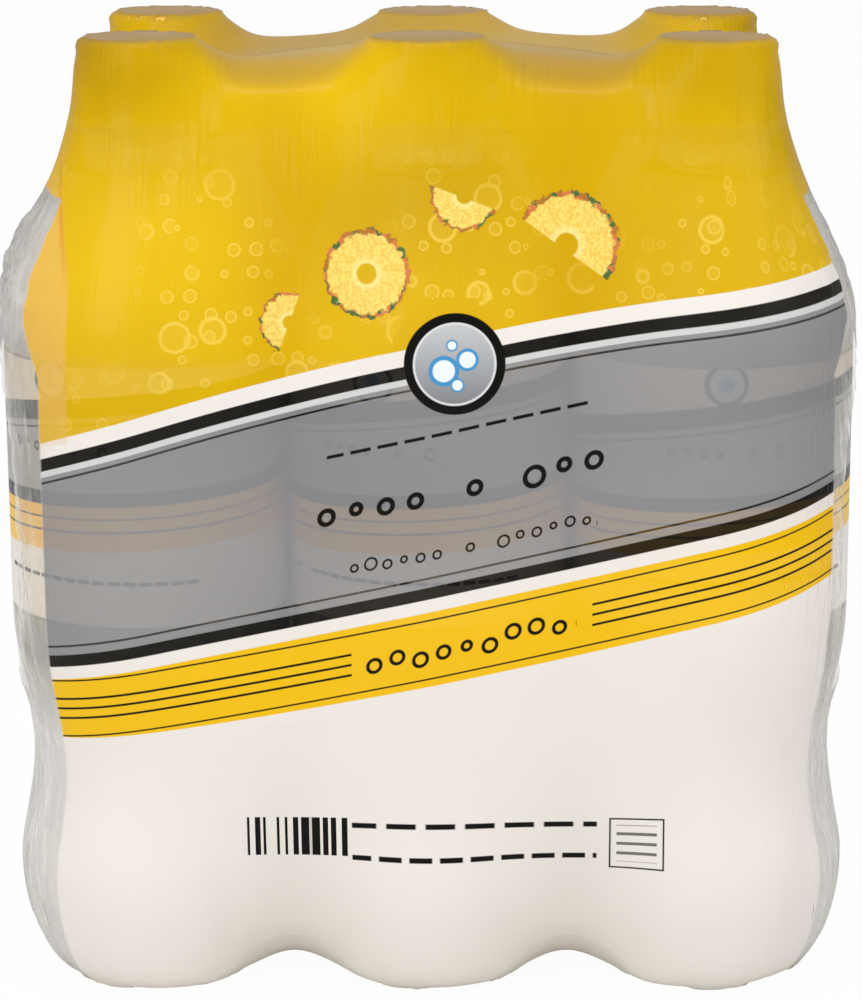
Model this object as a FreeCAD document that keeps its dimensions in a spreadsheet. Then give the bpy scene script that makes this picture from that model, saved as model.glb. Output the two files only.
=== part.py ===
import FreeCAD, Part

import math
import os
import re

import Sketcher
from FreeCAD import Placement, Rotation, Vector

# Six bottles of soft drink in a printed shrink film sleeve: two rows of three, standing.
# X runs along the rows, -Y is the front and +Z is up. The origin is the centre of the base.

doc = FreeCAD.newDocument("six_pack")

# ------------------------------------------------ driving sizes, in mm and degrees

SIZES = {
    # the pack: bottles side by side, almost touching
    "bottle_gap": 0.4,
    # the bottle's outside, with heights from its feet
    "body_diameter": 64.6,
    "foot_circle_radius": 20.6,
    "foot_pad_radius": 4.5,
    "foot_pad_angle": 40.0,
    "centre_height": 3.5,
    "heel_radius": 28.6,
    "heel_height": 9.0,
    "bulge_diameter": 63.8,
    "bulge_height": 27.0,
    "waist_diameter": 54.6,
    "waist_height": 51.0,
    "panel_bottom": 90.0,
    "panel_top": 150.5,
    "panel_depth": 0.25,
    "panel_step": 0.8,
    "knee_radius": 28.7,
    "knee_height": 167.3,
    "shoulder_top_radius": 18.2,
    "shoulder_top": 190.0,
    "neck_fillet": 6.5,
    "neck_diameter": 25.4,
    "neck_start": 196.5,
    "ring_diameter": 32.0,
    "ring_thickness": 2.0,
    "ring_height": 200.8,
    "lip_height": 217.6,
    # the five feet are what is left between five valleys pressed into a round bottom
    "feet": 5,
    "valley_floor": 5.0,
    "valley_ball_radius": 31.0,
    "valley_floor_width": 7.0,
    "valley_mouth_width": 19.0,
    "valley_depth": 15.0,
    # the wall of the bottle, and the level of the drink
    "bottle_wall": 0.5,
    "bore_diameter": 21.7,
    "fill_height": 188.0,
    # the label and the cap
    "label_thickness": 0.2,
    "label_fit": 0.05,
    "label_margin": 0.6,
    "cap_diameter": 27.2,
    "cap_gap": 0.55,
    "cap_thickness": 1.6,
    "cap_rim_radius": 1.6,
    "cap_fit": 0.15,
    "flutes": 36,
    "flute_radius": 0.8,
    "flute_depth": 0.35,
    # the film sleeve, open at both ends
    "film_wall": 0.4,
    "film_gap": 0.3,
    "opening_depth": 98.0,
    "opening_bottom": 63.0,
    "opening_top": 155.0,
    "opening_corner_power": 3.2,
    # how finely the film is worked out: cells over a cap's crown, over its rim, between two
    # caps, down an end as far as its shoulder and from there to the opening, and along each
    # other stretch of half a section, from under the pack up its side
    "cells_crown": 3,
    "cells_rim": 5,
    "cells_between": 6,
    "cells_end": 8,
    "cells_to_opening": 6,
    "cells_underside": 8,
    "cells_heel": 5,
    "cells_side": 14,
    "cells_shoulder": 9,
    "cells_neck": 6,
    "rim_zone": 4.0,
    "end_zone": 35.0,
    "shrinking_rounds": 140,
    "settling_rounds": 50,
    "clearing_rounds": 30,
    "slack": 0.15,
    # how hard the film pulls along the rows, for each unit of its pull round the pack
    "pull_high": 4.0,
    "pull_low": 1.0,
    # how far each bottle happens to be turned on its own axis
    "turn_front_left": 26.5,
    "turn_front_middle": 36.0,
    "turn_front_right": -12.3,
    "turn_back_left": 8.0,
    "turn_back_middle": -20.0,
    "turn_back_right": 31.0,
}

sheet = doc.addObject("Spreadsheet::Sheet", "Sizes")
for row, (alias, value) in enumerate(SIZES.items(), start=1):
    sheet.set(f"A{row}", alias)
    sheet.set(f"B{row}", str(value))
    sheet.setAlias(f"B{row}", alias)
doc.recompute()


def bound(expression):
    """The expression with every alias addressed through the sheet."""
    return re.sub(r"[a-z_]+", lambda word: f"Sizes.{word[0]}" if word[0] in SIZES else word[0], expression)


def size(expression):
    """The number that an expression over the sheet's aliases has."""
    return float(sheet.evalExpression(bound(expression)))


# Places that several pieces share, as expressions.
PITCH = "(body_diameter + bottle_gap)"
BASE = "(film_wall + film_gap)"
BODY_RADIUS = "(body_diameter / 2)"
PANEL_RADIUS = "(body_diameter / 2 - panel_depth)"
CAP_TOP = "(lip_height + cap_fit + cap_thickness)"

COLUMNS = {"left": -1, "middle": 0, "right": 1}
ROWS = {"front": -1, "back": 1}
PLACES = [(f"{row}_{column}", x, y) for row, y in ROWS.items() for column, x in COLUMNS.items()]

# ------------------------------------------------ sketches


def origin_part(body, role):
    """One of a body's own origin planes or axes."""
    return next(part for part in body.Origin.OriginFeatures if part.Role == role)


def fix_point(sketch, geometry, end, across, up):
    """Ties one end of a piece of geometry to two expressions, from the sketch's origin."""
    for kind, axis, expression in (("DistanceX", -2, across), ("DistanceY", -1, up)):
        if expression == "0":
            sketch.addConstraint(Sketcher.Constraint("PointOnObject", geometry, end, axis))
            continue
        value = size(expression)
        points = (-1, 1, geometry, end) if value > 0 else (geometry, end, -1, 1)
        index = sketch.addConstraint(Sketcher.Constraint(kind, *points, abs(value)))
        signed = expression if value > 0 else f"-({expression})"
        sketch.setExpression(f"Constraints[{index}]", bound(signed))


def run_between(start, end, arc):
    """A straight or round run. An arc is (radius, side): side 1 has its centre on the left."""
    if arc is None:
        return Part.LineSegment(start, end), (1, 2)
    radius, side = size(arc[0]), arc[1]
    chord = end - start
    height = math.sqrt(max(radius**2 - chord.Length**2 / 4, 0.0))
    left = Vector(-chord.y, chord.x, 0).normalize()
    centre = (start + end) / 2 + left * side * height
    angles = [math.atan2(p.y - centre.y, p.x - centre.x) for p in (start, end)]
    ends = (1, 2)
    if side < 0:
        angles.reverse()
        ends = (2, 1)
    circle = Part.Circle(centre, Vector(0, 0, 1), radius)
    return Part.ArcOfCircle(circle, *angles), ends


def outline(body, name, plane, corners, arcs=None):
    """A closed sketch through corners, each a pair of expressions. arcs rounds the run that
    starts at the corner it names."""
    arcs = arcs or {}
    sketch = body.newObject("Sketcher::SketchObject", name)
    sketch.AttachmentSupport = [(origin_part(body, plane), "")]
    sketch.MapMode = "FlatFace"
    points = [Vector(size(across), size(up), 0) for across, up in corners]
    runs = []
    for i, start in enumerate(points):
        geometry, ends = run_between(start, points[(i + 1) % len(points)], arcs.get(i))
        runs.append((sketch.addGeometry(geometry), ends))
    for i, (geometry, ends) in enumerate(runs):
        fix_point(sketch, geometry, ends[0], *corners[i])
        before, before_ends = runs[i - 1]
        sketch.addConstraint(
            Sketcher.Constraint("Coincident", before, before_ends[1], geometry, ends[0])
        )
        if i in arcs:
            index = sketch.addConstraint(
                Sketcher.Constraint("Radius", geometry, size(arcs[i][0]))
            )
            sketch.setExpression(f"Constraints[{index}]", bound(arcs[i][0]))
    return sketch


def turned(body, sketch, name):
    """The sketch turned once round its upright axis."""
    feature = body.newObject("PartDesign::Revolution", name)
    feature.Profile = sketch
    feature.ReferenceAxis = (sketch, ["V_Axis"])
    feature.Angle = 360
    return feature


def around(body, feature, count, name):
    """Repeats a cut evenly round the upright axis."""
    pattern = body.newObject("PartDesign::PolarPattern", name)
    pattern.Originals = [feature]
    pattern.Axis = (origin_part(body, "Z_Axis"), [""])
    pattern.Angle = 360
    pattern.setExpression("Occurrences", bound(count))
    body.Tip = pattern
    return pattern


# ------------------------------------------------ the bottle


def tangent_radius(rise, swing):
    """The radius of an arc that rises and swings in this much, upright at one end."""
    return f"((({rise})^2 + ({swing})^2) / (2 * ({swing})))"


def bottle_form(name, inset, mouth):
    """A bottle's outside, or with an inset its inside: a turned form with five valleys."""
    body = doc.addObject("PartDesign::Body", name)
    pad = f"(foot_pad_radius - {inset})"
    pad_swing = f"{pad} * sin(foot_pad_angle)"
    pad_end = f"foot_pad_radius - {pad} * cos(foot_pad_angle)"
    bulge = f"bulge_diameter / 2 - {inset}"
    waist = f"waist_diameter / 2 - {inset}"
    side = f"body_diameter / 2 - {inset}"
    panel = f"{PANEL_RADIUS} - {inset}"
    low_step = "panel_bottom - panel_step"
    high_step = "panel_top + panel_step"
    corners = [
        ("0", f"centre_height + {inset}"),
        (f"foot_circle_radius - {pad_swing}", pad_end),
        (f"foot_circle_radius + {pad_swing}", pad_end),
        (f"heel_radius - {inset}", "heel_height"),
        (bulge, "bulge_height"),
        (f"(bulge_diameter + waist_diameter) / 4 - {inset}", "(bulge_height + waist_height) / 2"),
        (waist, "waist_height"),
        (f"(waist_diameter + body_diameter) / 4 - {inset}", f"(waist_height + {low_step}) / 2"),
        (side, low_step),
        (panel, "panel_bottom"),
        (panel, "panel_top"),
        (side, high_step),
        (f"knee_radius - {inset}", "knee_height"),
        (f"shoulder_top_radius - {inset}", "shoulder_top"),
    ]
    heel_bend = tangent_radius("bulge_height - heel_height", "bulge_diameter / 2 - heel_radius")
    low_bend = tangent_radius(
        "(waist_height - bulge_height) / 2", "(bulge_diameter - waist_diameter) / 4"
    )
    high_bend = tangent_radius(
        f"({low_step} - waist_height) / 2", "(body_diameter - waist_diameter) / 4"
    )
    knee_bend = tangent_radius(f"knee_height - ({high_step})", "body_diameter / 2 - knee_radius")
    arcs = {
        1: (pad, 1),
        3: (heel_bend, 1),
        4: (low_bend, 1),
        5: (low_bend, -1),
        6: (high_bend, -1),
        7: (high_bend, 1),
        11: (knee_bend, 1),
        13: (f"neck_fillet + {inset}", -1),
    }
    corners += mouth
    turned(body, outline(body, f"{name}_outline", "XZ_Plane", corners, arcs), f"{name}_turned")

    half_floor = f"valley_floor_width / 2 + {inset}"
    half_mouth = f"valley_mouth_width / 2 + {inset}"
    ball = f"(valley_ball_radius - {inset})"
    valley = [
        (f"-({half_floor})", f"-{ball}"),
        (f"-({half_mouth})", f"-({ball} + valley_depth)"),
        (half_mouth, f"-({ball} + valley_depth)"),
        (half_floor, f"-{ball}"),
    ]
    section = outline(body, f"{name}_valley", "YZ_Plane", valley, {3: (half_mouth, 1)})
    section.setExpression("AttachmentOffset.Base.y", bound("valley_floor + valley_ball_radius"))
    doc.recompute()
    groove = body.newObject("PartDesign::Groove", f"{name}_groove")
    groove.Profile = section
    groove.ReferenceAxis = (section, ["H_Axis"])
    groove.Angle = 90
    around(body, groove, "feet", f"{name}_feet")
    return body


OUTSIDE_MOUTH = [
    ("neck_diameter / 2", "neck_start"),
    ("neck_diameter / 2", "ring_height - ring_thickness"),
    ("ring_diameter / 2", "ring_height - ring_thickness"),
    ("ring_diameter / 2", "ring_height"),
    ("neck_diameter / 2", "ring_height"),
    ("neck_diameter / 2", "lip_height"),
    ("0", "lip_height"),
]
INSIDE_MOUTH = [
    ("bore_diameter / 2", "neck_start"),
    ("bore_diameter / 2", "lip_height + bottle_wall"),
    ("0", "lip_height + bottle_wall"),
]

outside = bottle_form("bottle_outside", "0", OUTSIDE_MOUTH)
inside = bottle_form("bottle_inside", "bottle_wall", INSIDE_MOUTH)


def stand(piece, label, column, row):
    """Labels a piece and stands it in its place in the pack, turned as its bottle is."""
    piece.Label = label
    piece.Placement = Placement(Vector(0, 0, 0), Rotation(Vector(0, 0, 1), 1.0))
    place = label.split("_", 1)[1]
    piece.setExpression("Placement.Base.x", bound(f"{column} * {PITCH}"))
    piece.setExpression("Placement.Base.y", bound(f"{row} * {PITCH} / 2"))
    piece.setExpression("Placement.Base.z", bound(BASE))
    piece.setExpression("Placement.Rotation.Angle", bound(f"turn_{place}"))
    return piece


def bottle(place, column, row):
    """The clear bottle: its outside less its inside."""
    piece = doc.addObject("Part::Cut", f"bottle_{place}")
    piece.Base = outside
    piece.Tool = inside
    return stand(piece, f"bottle_{place}", column, row)


# ------------------------------------------------ the drink, the label and the cap

level = doc.addObject("Part::Cylinder", "drink_level")
level.setExpression("Radius", bound("body_diameter"))
level.setExpression("Height", bound("fill_height"))


def drink(place, column, row):
    """The inside of the bottle, up to the level of the drink."""
    piece = doc.addObject("Part::Common", f"drink_{place}")
    piece.Base = inside
    piece.Tool = level
    return stand(piece, f"drink_{place}", column, row)


def label(place, column, row):
    """The label wrapped round the bottle's straight panel."""
    body = doc.addObject("PartDesign::Body", f"label_{place}")
    inner = f"{PANEL_RADIUS} + label_fit"
    outer = f"{inner} + label_thickness"
    bottom = "panel_bottom + label_margin"
    top = "panel_top - label_margin"
    corners = [(inner, bottom), (outer, bottom), (outer, top), (inner, top)]
    turned(body, outline(body, f"label_{place}_outline", "XZ_Plane", corners), f"label_{place}_turned")
    return stand(body, f"label_{place}", column, row)


def cap(place, column, row):
    """The screw cap: a turned cup with flutes round its side."""
    body = doc.addObject("PartDesign::Body", f"cap_{place}")
    inner = "neck_diameter / 2 + cap_fit"
    roof = "lip_height + cap_fit"
    radius = "cap_diameter / 2"
    skirt = "ring_height + cap_gap"
    corners = [
        (inner, roof),
        (inner, skirt),
        (radius, skirt),
        (radius, f"{CAP_TOP} - cap_rim_radius"),
        (f"{radius} - cap_rim_radius", CAP_TOP),
        ("0", CAP_TOP),
        ("0", roof),
    ]
    arcs = {3: ("cap_rim_radius", 1)}
    turned(body, outline(body, f"cap_{place}_outline", "XZ_Plane", corners, arcs), f"cap_{place}_turned")
    section = body.newObject("Sketcher::SketchObject", f"cap_{place}_flute")
    section.AttachmentSupport = [(origin_part(body, "XY_Plane"), "")]
    section.MapMode = "FlatFace"
    centre = f"{radius} + flute_radius - flute_depth"
    circle = Part.Circle(Vector(size(centre), 0, 0), Vector(0, 0, 1), size("flute_radius"))
    geometry = section.addGeometry(circle)
    fix_point(section, geometry, 3, centre, "0")
    index = section.addConstraint(Sketcher.Constraint("Radius", geometry, size("flute_radius")))
    section.setExpression(f"Constraints[{index}]", bound("flute_radius"))
    doc.recompute()
    flute = body.newObject("PartDesign::Pocket", f"cap_{place}_pocket")
    flute.Profile = section
    flute.Type = "ThroughAll"
    flute.Midplane = True
    around(body, flute, "flutes", f"cap_{place}_flutes")
    return stand(body, f"cap_{place}", column, row)


# ------------------------------------------------ the film sleeve


def reach_table(sketches, step):
    """The outermost radius at each height, as steps above the feet, of what the sketches turn."""
    table = [0.0] * (int(size(CAP_TOP) / step) + 2)
    for sketch in sketches:
        for edge in sketch.Shape.Edges:
            points = [(p.x, p.z) for p in edge.discretize(12)]
            for (r1, z1), (r2, z2) in zip(points, points[1:]):
                low, high = sorted((z1, z2))
                for i in range(math.floor(low / step), math.ceil(high / step) + 1):
                    share = 0.5 if high == low else (i * step - z1) / (z2 - z1)
                    share = min(max(share, 0.0), 1.0)
                    if 0 <= i < len(table):
                        table[i] = max(table[i], r1 + (r2 - r1) * share)
    return table


class Supports:
    """What the film lies on: the six capped bottles, grown by the film's own gap and wall. It
    is pulled straight across the valleys between a bottle's feet."""

    STEP = 0.5

    def __init__(self):
        names = ("bottle_outside_outline", "label_front_left_outline", "cap_front_left_outline")
        self.table = reach_table([doc.getObject(name) for name in names], self.STEP)
        self.grow = size(BASE)
        self.pitch = size(PITCH)
        self.top = size(CAP_TOP)

    def reach(self, height):
        """The radius that the film clears at a height above the feet."""
        place = min(max(height, 0.0), self.top) / self.STEP
        low = int(place)
        return self.table[low] + (self.table[low + 1] - self.table[low]) * (place - low) + self.grow

    def push_out(self, x, y, z):
        """The point itself, or where it lands when pushed out of the bottle that it is in."""
        column = min(max(round(x / self.pitch), -1), 1)
        row = 1 if y > 0 else -1
        dx = x - column * self.pitch
        dy = y - row * self.pitch / 2
        radius = math.hypot(dx, dy)
        height = z - self.grow
        below = height + self.grow
        above = self.top + self.grow - height
        if below <= 0 or above <= 0 or radius < 1e-6:
            return x, y, z
        reach = self.reach(height)
        if radius >= reach:
            return x, y, z
        depth = reach - radius
        if above < depth:
            return x, y, self.top + 2 * self.grow
        if below < depth:
            return x, y, 0.0
        share = reach / radius
        return column * self.pitch + dx * share, row * self.pitch / 2 + dy * share, z


def stretch(start, end, cells):
    """Even steps from start to end, without the end."""
    return [tuple(a + (b - a) * i / cells for a, b in zip(start, end)) for i in range(cells)]


def section():
    """The loop that the film starts from round the pack, as (y, z): from the middle of the
    underside, up the front, over the top and down the back."""
    side = size(f"{PITCH} / 2 + {BODY_RADIUS} + {BASE}")
    foot = size(f"{PITCH} / 2 + foot_circle_radius")
    ring_side = size(f"{PITCH} / 2 + ring_diameter / 2 + {BASE}")
    row = size(f"{PITCH} / 2")
    rim = size(f"cap_diameter / 2 + {BASE}")
    zone = size("rim_zone")
    top = size(f"{CAP_TOP} + 2 * {BASE}")
    corners = [
        ((0.0, 0.0), "cells_underside"),
        ((-foot, 0.0), "cells_heel"),
        ((-side, size(f"bulge_height + {BASE}")), "cells_side"),
        ((-side, size(f"panel_top + {BASE}")), "cells_shoulder"),
        ((-ring_side, size(f"ring_height + {BASE}")), "cells_neck"),
        ((-row - rim, top - zone), "cells_rim"),
        ((-row - rim + zone, top), "cells_crown"),
        ((-row, top), "cells_crown"),
        ((-row + rim - zone, top), "cells_rim"),
        ((-row + rim + zone, top), "cells_crown"),
        ((0.0, top), ""),
    ]
    half = []
    for (start, cells), (end, _) in zip(corners, corners[1:]):
        half += stretch(start, end, int(size(cells)))
    crest = corners[-1][0]
    return half + [crest] + [(-y, z) for y, z in reversed(half[1:])]


def stations():
    """The places along the rows of the film's lines over the middle bottles, from the left
    bottles' axes to the right ones': closer together over the rims of the caps."""
    pitch = size(PITCH)
    rim = size(f"cap_diameter / 2 + {BASE}")
    zone = size("rim_zone")
    stops = [
        (0.0, "cells_crown"),
        (rim - zone, "cells_rim"),
        (rim + zone, "cells_between"),
        (pitch - rim - zone, "cells_rim"),
        (pitch - rim + zone, "cells_crown"),
        (pitch, ""),
    ]
    places = []
    for start in (-pitch, 0.0):
        for (place, cells), (end, _) in zip(stops, stops[1:]):
            places += [start + x for (x,) in stretch((place,), (end,), int(size(cells)))]
    return places + [pitch]


def opening_rim(supports, y, z):
    """The point of the end opening's rounded edge that faces a point of the section, and how
    far past the end bottles' axes it is."""
    middle = size("(opening_bottom + opening_top) / 2")
    half_depth = size("opening_depth / 2")
    half_height = size("(opening_top - opening_bottom) / 2")
    power = size("opening_corner_power")
    angle = math.atan2(z - middle, y)
    across = abs(math.cos(angle)) / half_depth
    up = abs(math.sin(angle)) / half_height
    far = (across**power + up**power) ** (-1 / power)
    rim_y = far * math.cos(angle)
    rim_z = middle + far * math.sin(angle)
    side = supports.reach(rim_z - supports.grow)
    aside = max(abs(rim_y) - size(f"{PITCH} / 2"), 0.0)
    return rim_y, rim_z, math.sqrt(side**2 - aside**2)


def loose_film(supports):
    """The film before it is drawn tight: lines round the pack, from one opening to the other."""
    loop = section()
    rims = [opening_rim(supports, y, z) for y, z in loop]
    pitch = size(PITCH)
    zone = size("end_zone")
    turns = stretch((90.0,), (zone,), int(size("cells_to_opening")))
    turns += stretch((zone,), (0.0,), int(size("cells_end")))
    lines = []
    for (degrees,) in turns:
        turn = math.radians(degrees)
        line = []
        for (y, z), (rim_y, rim_z, out) in zip(loop, rims):
            share = math.cos(turn)
            x = pitch + out * math.sin(turn)
            line.append((-x, rim_y + (y - rim_y) * share, rim_z + (z - rim_z) * share))
        lines.append(line)
    right = [[(-x, y, z) for x, y, z in line] for line in reversed(lines)]
    return lines + [[(x, y, z) for y, z in loop] for x in stations()] + right


# How much the four poles about a point of a smooth line count: level with the second of
# them, and halfway from the second to the third.
BLENDS = ((1 / 6, 4 / 6, 1 / 6, 0.0), (1 / 48, 23 / 48, 23 / 48, 1 / 48))


def blend(points, shares):
    """The point that four points make together, each with its share."""
    a, b, c, d = shares
    return tuple(a * p + b * q + c * r + d * s for p, q, r, s in zip(*points))


class Skin:
    """The film's outer side, as lines of poles round the pack: the points that its smooth
    surface follows. The edges of the two openings stay where they are."""

    def __init__(self, supports):
        self.supports = supports
        self.lines = loose_film(supports)
        middle = self.lines[len(self.lines) // 2]
        self.count = len(middle)
        crest = self.count // 2
        low, high = size("pull_low"), size("pull_high")
        start, end = size("bulge_height"), size("panel_bottom")
        self.pulls = []
        for _, _, z in middle:
            share = min(max((z - start) / (end - start), 0.0), 1.0)
            self.pulls.append(low + (high - low) * share)
        self.around = [1 / math.dist(middle[j], middle[j - 1]) for j in range(self.count)]
        self.steps = []
        for before, line in zip(self.lines, self.lines[1:]):
            self.steps.append(1 / math.dist(before[crest], line[crest]))

    def shrink(self, caught):
        """Moves each pole to the middle of its neighbours. Where the poles are caught by the
        bottles none goes into one, and where they aren't they move only a part of the way."""
        slack = size("slack")
        for i in range(1, len(self.lines) - 1):
            before, line, after = self.lines[i - 1 : i + 2]
            for j in range(self.count):
                k = (j + 1) % self.count
                a, b = self.pulls[j] * self.steps[i - 1], self.pulls[j] * self.steps[i]
                c, d = self.around[j], self.around[k]
                total = a + b + c + d
                pulls = zip(before[j], after[j], line[j - 1], line[k])
                goal = tuple((a * p + b * q + c * r + d * s) / total for p, q, r, s in pulls)
                if caught:
                    line[j] = self.supports.push_out(*goal)
                else:
                    line[j] = tuple(p + (q - p) * slack for p, q in zip(line[j], goal))

    def clear(self):
        """Moves the poles out a little where the smooth skin, at a pole or halfway between
        two of them, runs into a bottle."""
        moves = {}
        for i in range(1, len(self.lines) - 2):
            for along in BLENDS:
                line = [blend(points, along) for points in zip(*self.lines[i - 1 : i + 3])]
                for j in range(self.count):
                    near = [(j + step) % self.count for step in (-1, 0, 1, 2)]
                    corners = [line[k] for k in near]
                    for across in BLENDS:
                        self.push(moves, i, near, along, across, blend(corners, across))
        highest = self.supports.top + 2 * self.supports.grow
        for (i, j), (dx, dy, dz, weight) in moves.items():
            if 0 < i < len(self.lines) - 1 and weight > 0:
                x, y, z = self.lines[i][j]
                z = min(max(z + dz / weight, 0.0), highest)
                self.lines[i][j] = (x + dx / weight, y + dy / weight, z)

    def push(self, moves, i, near, along, across, point):
        """Adds to the poles' moves what clears one point of the skin, by their shares in it."""
        clear = self.supports.push_out(*point)
        if clear == point:
            return
        spread = sum(share**2 for share in along) * sum(part**2 for part in across)
        push = [(p - q) / spread for p, q in zip(clear, point)]
        for step, share in enumerate(along):
            for k, part in zip(near, across):
                weight = share * part
                move = moves.setdefault((i - 1 + step, k), [0.0] * 4)
                for axis in range(3):
                    move[axis] += weight**2 * push[axis]
                move[3] += weight


def inner_side(grid, wall):
    """The film's inner side: every point moved inwards by the wall."""
    count = len(grid[0])
    inner = []
    for i, line in enumerate(grid):
        before = grid[max(i - 1, 0)]
        after = grid[min(i + 1, len(grid) - 1)]
        moved = []
        for j, point in enumerate(line):
            along = Vector(*after[j]) - Vector(*before[j])
            around = Vector(*line[(j + 1) % count]) - Vector(*line[j - 1])
            moved.append(tuple(Vector(*point) + around.cross(along).normalize() * wall))
        inner.append(moved)
    return inner


def smooth_tube(grid):
    """A smooth tube with the grid's points as its poles, closed round the pack."""
    along, around = len(grid), len(grid[0])
    surface = Part.BSplineSurface()
    surface.buildFromPolesMultsKnots(
        [[Vector(*point) for point in line] for line in grid],
        [4] + [1] * (along - 4) + [4],
        [1] * (around + 1),
        list(range(along - 2)),
        list(range(around + 1)),
        False,
        True,
        3,
        3,
    )
    return surface


def film():
    """The shrink film sleeve: one thin skin over all six bottles, with an opening at each end."""
    supports = Supports()
    skin = Skin(supports)
    for _ in range(int(size("shrinking_rounds"))):
        skin.shrink(True)
    for _ in range(int(size("settling_rounds"))):
        skin.shrink(False)
        skin.clear()
    for _ in range(int(size("clearing_rounds"))):
        skin.clear()
    grid = skin.lines
    outer = smooth_tube(grid)
    inner = smooth_tube(inner_side(grid, size("film_wall")))
    faces = [outer.toShape(), inner.toShape()]
    for edge in (0, 1):
        rims = [surface.uIso(surface.bounds()[edge]).toShape() for surface in (outer, inner)]
        faces.append(Part.makeRuledSurface(*rims))
    shell = Part.makeShell(faces)
    shell.sewShape()
    solid = Part.Solid(shell)
    if solid.Volume < 0:
        solid.reverse()
    piece = doc.addObject("Part::Feature", "film_sleeve")
    piece.Label = "film_sleeve"
    piece.Shape = solid
    piece.Placement = Placement()
    return piece


# ------------------------------------------------ build, check and write

pieces = []
for place, column, row in PLACES:
    pieces += [make(place, column, row) for make in (bottle, drink, label, cap)]
doc.recompute()
pieces.append(film())
doc.recompute()

for item in doc.Objects:
    if {"Invalid", "Error"} & set(item.State):
        raise RuntimeError(f"{item.Label} failed: {item.State}")
for piece in pieces:
    if piece.Shape.isNull() or not piece.Shape.isValid():
        raise RuntimeError(f"{piece.Label} has no valid shape")

os.makedirs("parts", exist_ok=True)
for piece in pieces:
    piece.Shape.exportStep(f"parts/{piece.Label}.step")
    print(f"{piece.Label}: {piece.Shape.Volume / 1000:.2f} cubic centimetres")
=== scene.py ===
# %% [markdown]
# A pack of six small soda bottles, two rows of three, stands in a sleeve of printed shrink
# film. The solids of the bottles, drinks, labels, caps and film come from the frame, which
# gives every size and place. This lesson gives them their finishes, and makes the film anew
# as the thin, tight and slightly wrinkled sheet that it is.

import math

import bpy
import numpy as np
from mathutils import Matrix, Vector


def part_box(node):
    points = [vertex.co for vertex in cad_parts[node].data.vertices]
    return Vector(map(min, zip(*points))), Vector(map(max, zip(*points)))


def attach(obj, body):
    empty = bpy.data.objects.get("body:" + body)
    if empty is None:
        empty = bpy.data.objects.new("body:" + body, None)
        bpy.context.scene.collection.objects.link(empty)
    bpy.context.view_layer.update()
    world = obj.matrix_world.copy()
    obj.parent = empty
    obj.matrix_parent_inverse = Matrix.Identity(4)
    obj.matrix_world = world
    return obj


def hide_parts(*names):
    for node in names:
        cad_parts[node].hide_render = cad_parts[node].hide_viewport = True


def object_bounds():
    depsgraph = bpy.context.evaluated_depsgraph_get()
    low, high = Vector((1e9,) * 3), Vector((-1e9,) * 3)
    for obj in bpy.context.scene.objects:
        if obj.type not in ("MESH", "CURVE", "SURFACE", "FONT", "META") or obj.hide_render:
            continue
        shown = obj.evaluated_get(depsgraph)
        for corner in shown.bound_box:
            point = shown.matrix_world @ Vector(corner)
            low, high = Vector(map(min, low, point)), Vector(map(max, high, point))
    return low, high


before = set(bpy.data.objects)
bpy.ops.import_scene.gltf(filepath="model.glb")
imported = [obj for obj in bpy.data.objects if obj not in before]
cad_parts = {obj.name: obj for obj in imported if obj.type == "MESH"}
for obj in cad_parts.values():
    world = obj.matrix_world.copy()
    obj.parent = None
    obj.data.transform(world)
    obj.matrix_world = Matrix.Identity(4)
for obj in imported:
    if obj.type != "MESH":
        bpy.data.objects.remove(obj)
cad_low, cad_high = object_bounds()
MM = 0.001
print("the frame's box in millimetres:", [round(x / MM, 1) for x in cad_high - cad_low])

# %% [markdown]
# Loading leaves every solid selected, and an operator acts on all that is selected. So each
# step starts with this helper, which leaves one piece selected and active, or none.

# %% Selecting one piece


def pick(piece=None):
    """Leaves only this piece selected and active."""
    if bpy.context.object and bpy.context.object.mode != "OBJECT":
        bpy.ops.object.mode_set(mode="OBJECT")
    bpy.ops.object.select_all(action="DESELECT")
    if piece:
        piece.select_set(True)
    bpy.context.view_layer.objects.active = piece
    return piece


# %% [markdown]
# Every place is read from the frame. The bottles stand in a grid, so the boxes of two caps
# give the pitch, and each bottle's axis is the middle of its cap.

# %% The places of the bottles
PLACES = [f"{row}_{column}" for row in ("front", "back") for column in ("left", "middle", "right")]


def axis_of(place):
    """The upright axis of a bottle: the middle of its cap."""
    low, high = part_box(f"cap_{place}")
    return (low + high) / 2


AXES = {place: axis_of(place) for place in PLACES}
PITCH = AXES["front_right"].x - AXES["front_middle"].x
ROW = AXES["back_middle"].y
CAP_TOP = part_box("cap_front_left")[1].z
BODY_RADIUS = (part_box("bottle_front_left")[1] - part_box("bottle_front_left")[0]).x / 2
FILM_LOW, FILM_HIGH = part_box("film_sleeve")
print("pitch", round(PITCH / MM, 1), "row", round(ROW / MM, 1), "cap top", round(CAP_TOP / MM, 1))

# %% [markdown]
# The camera stands in front of the pack, a little above it, and looks down by 13.6 degrees.
# It goes in first, because every later choice is judged through it. The long lens keeps the
# sides of the pack nearly upright, and the small shift puts the pack in the frame as a
# camera turned a degree to one side would.

# %% The camera
bpy.ops.object.camera_add(
    location=(0.0168, -0.7647, 0.2907), rotation=(math.radians(90 - 13.63), 0, 0)
)
camera = bpy.context.object
camera.data.sensor_width = 36
camera.data.lens = 116.73
camera.data.shift_x = -0.071
camera.data.clip_start = 0.05
bpy.context.scene.camera = camera

# %% [markdown]
# A pack on a shop's white page is lit softly from all round, with broad soft boxes that show
# as long pale glints in the film. The floor is white and the world is white to the camera,
# but lights the pack at a plain level, so that colours come out about as they are written.

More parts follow.
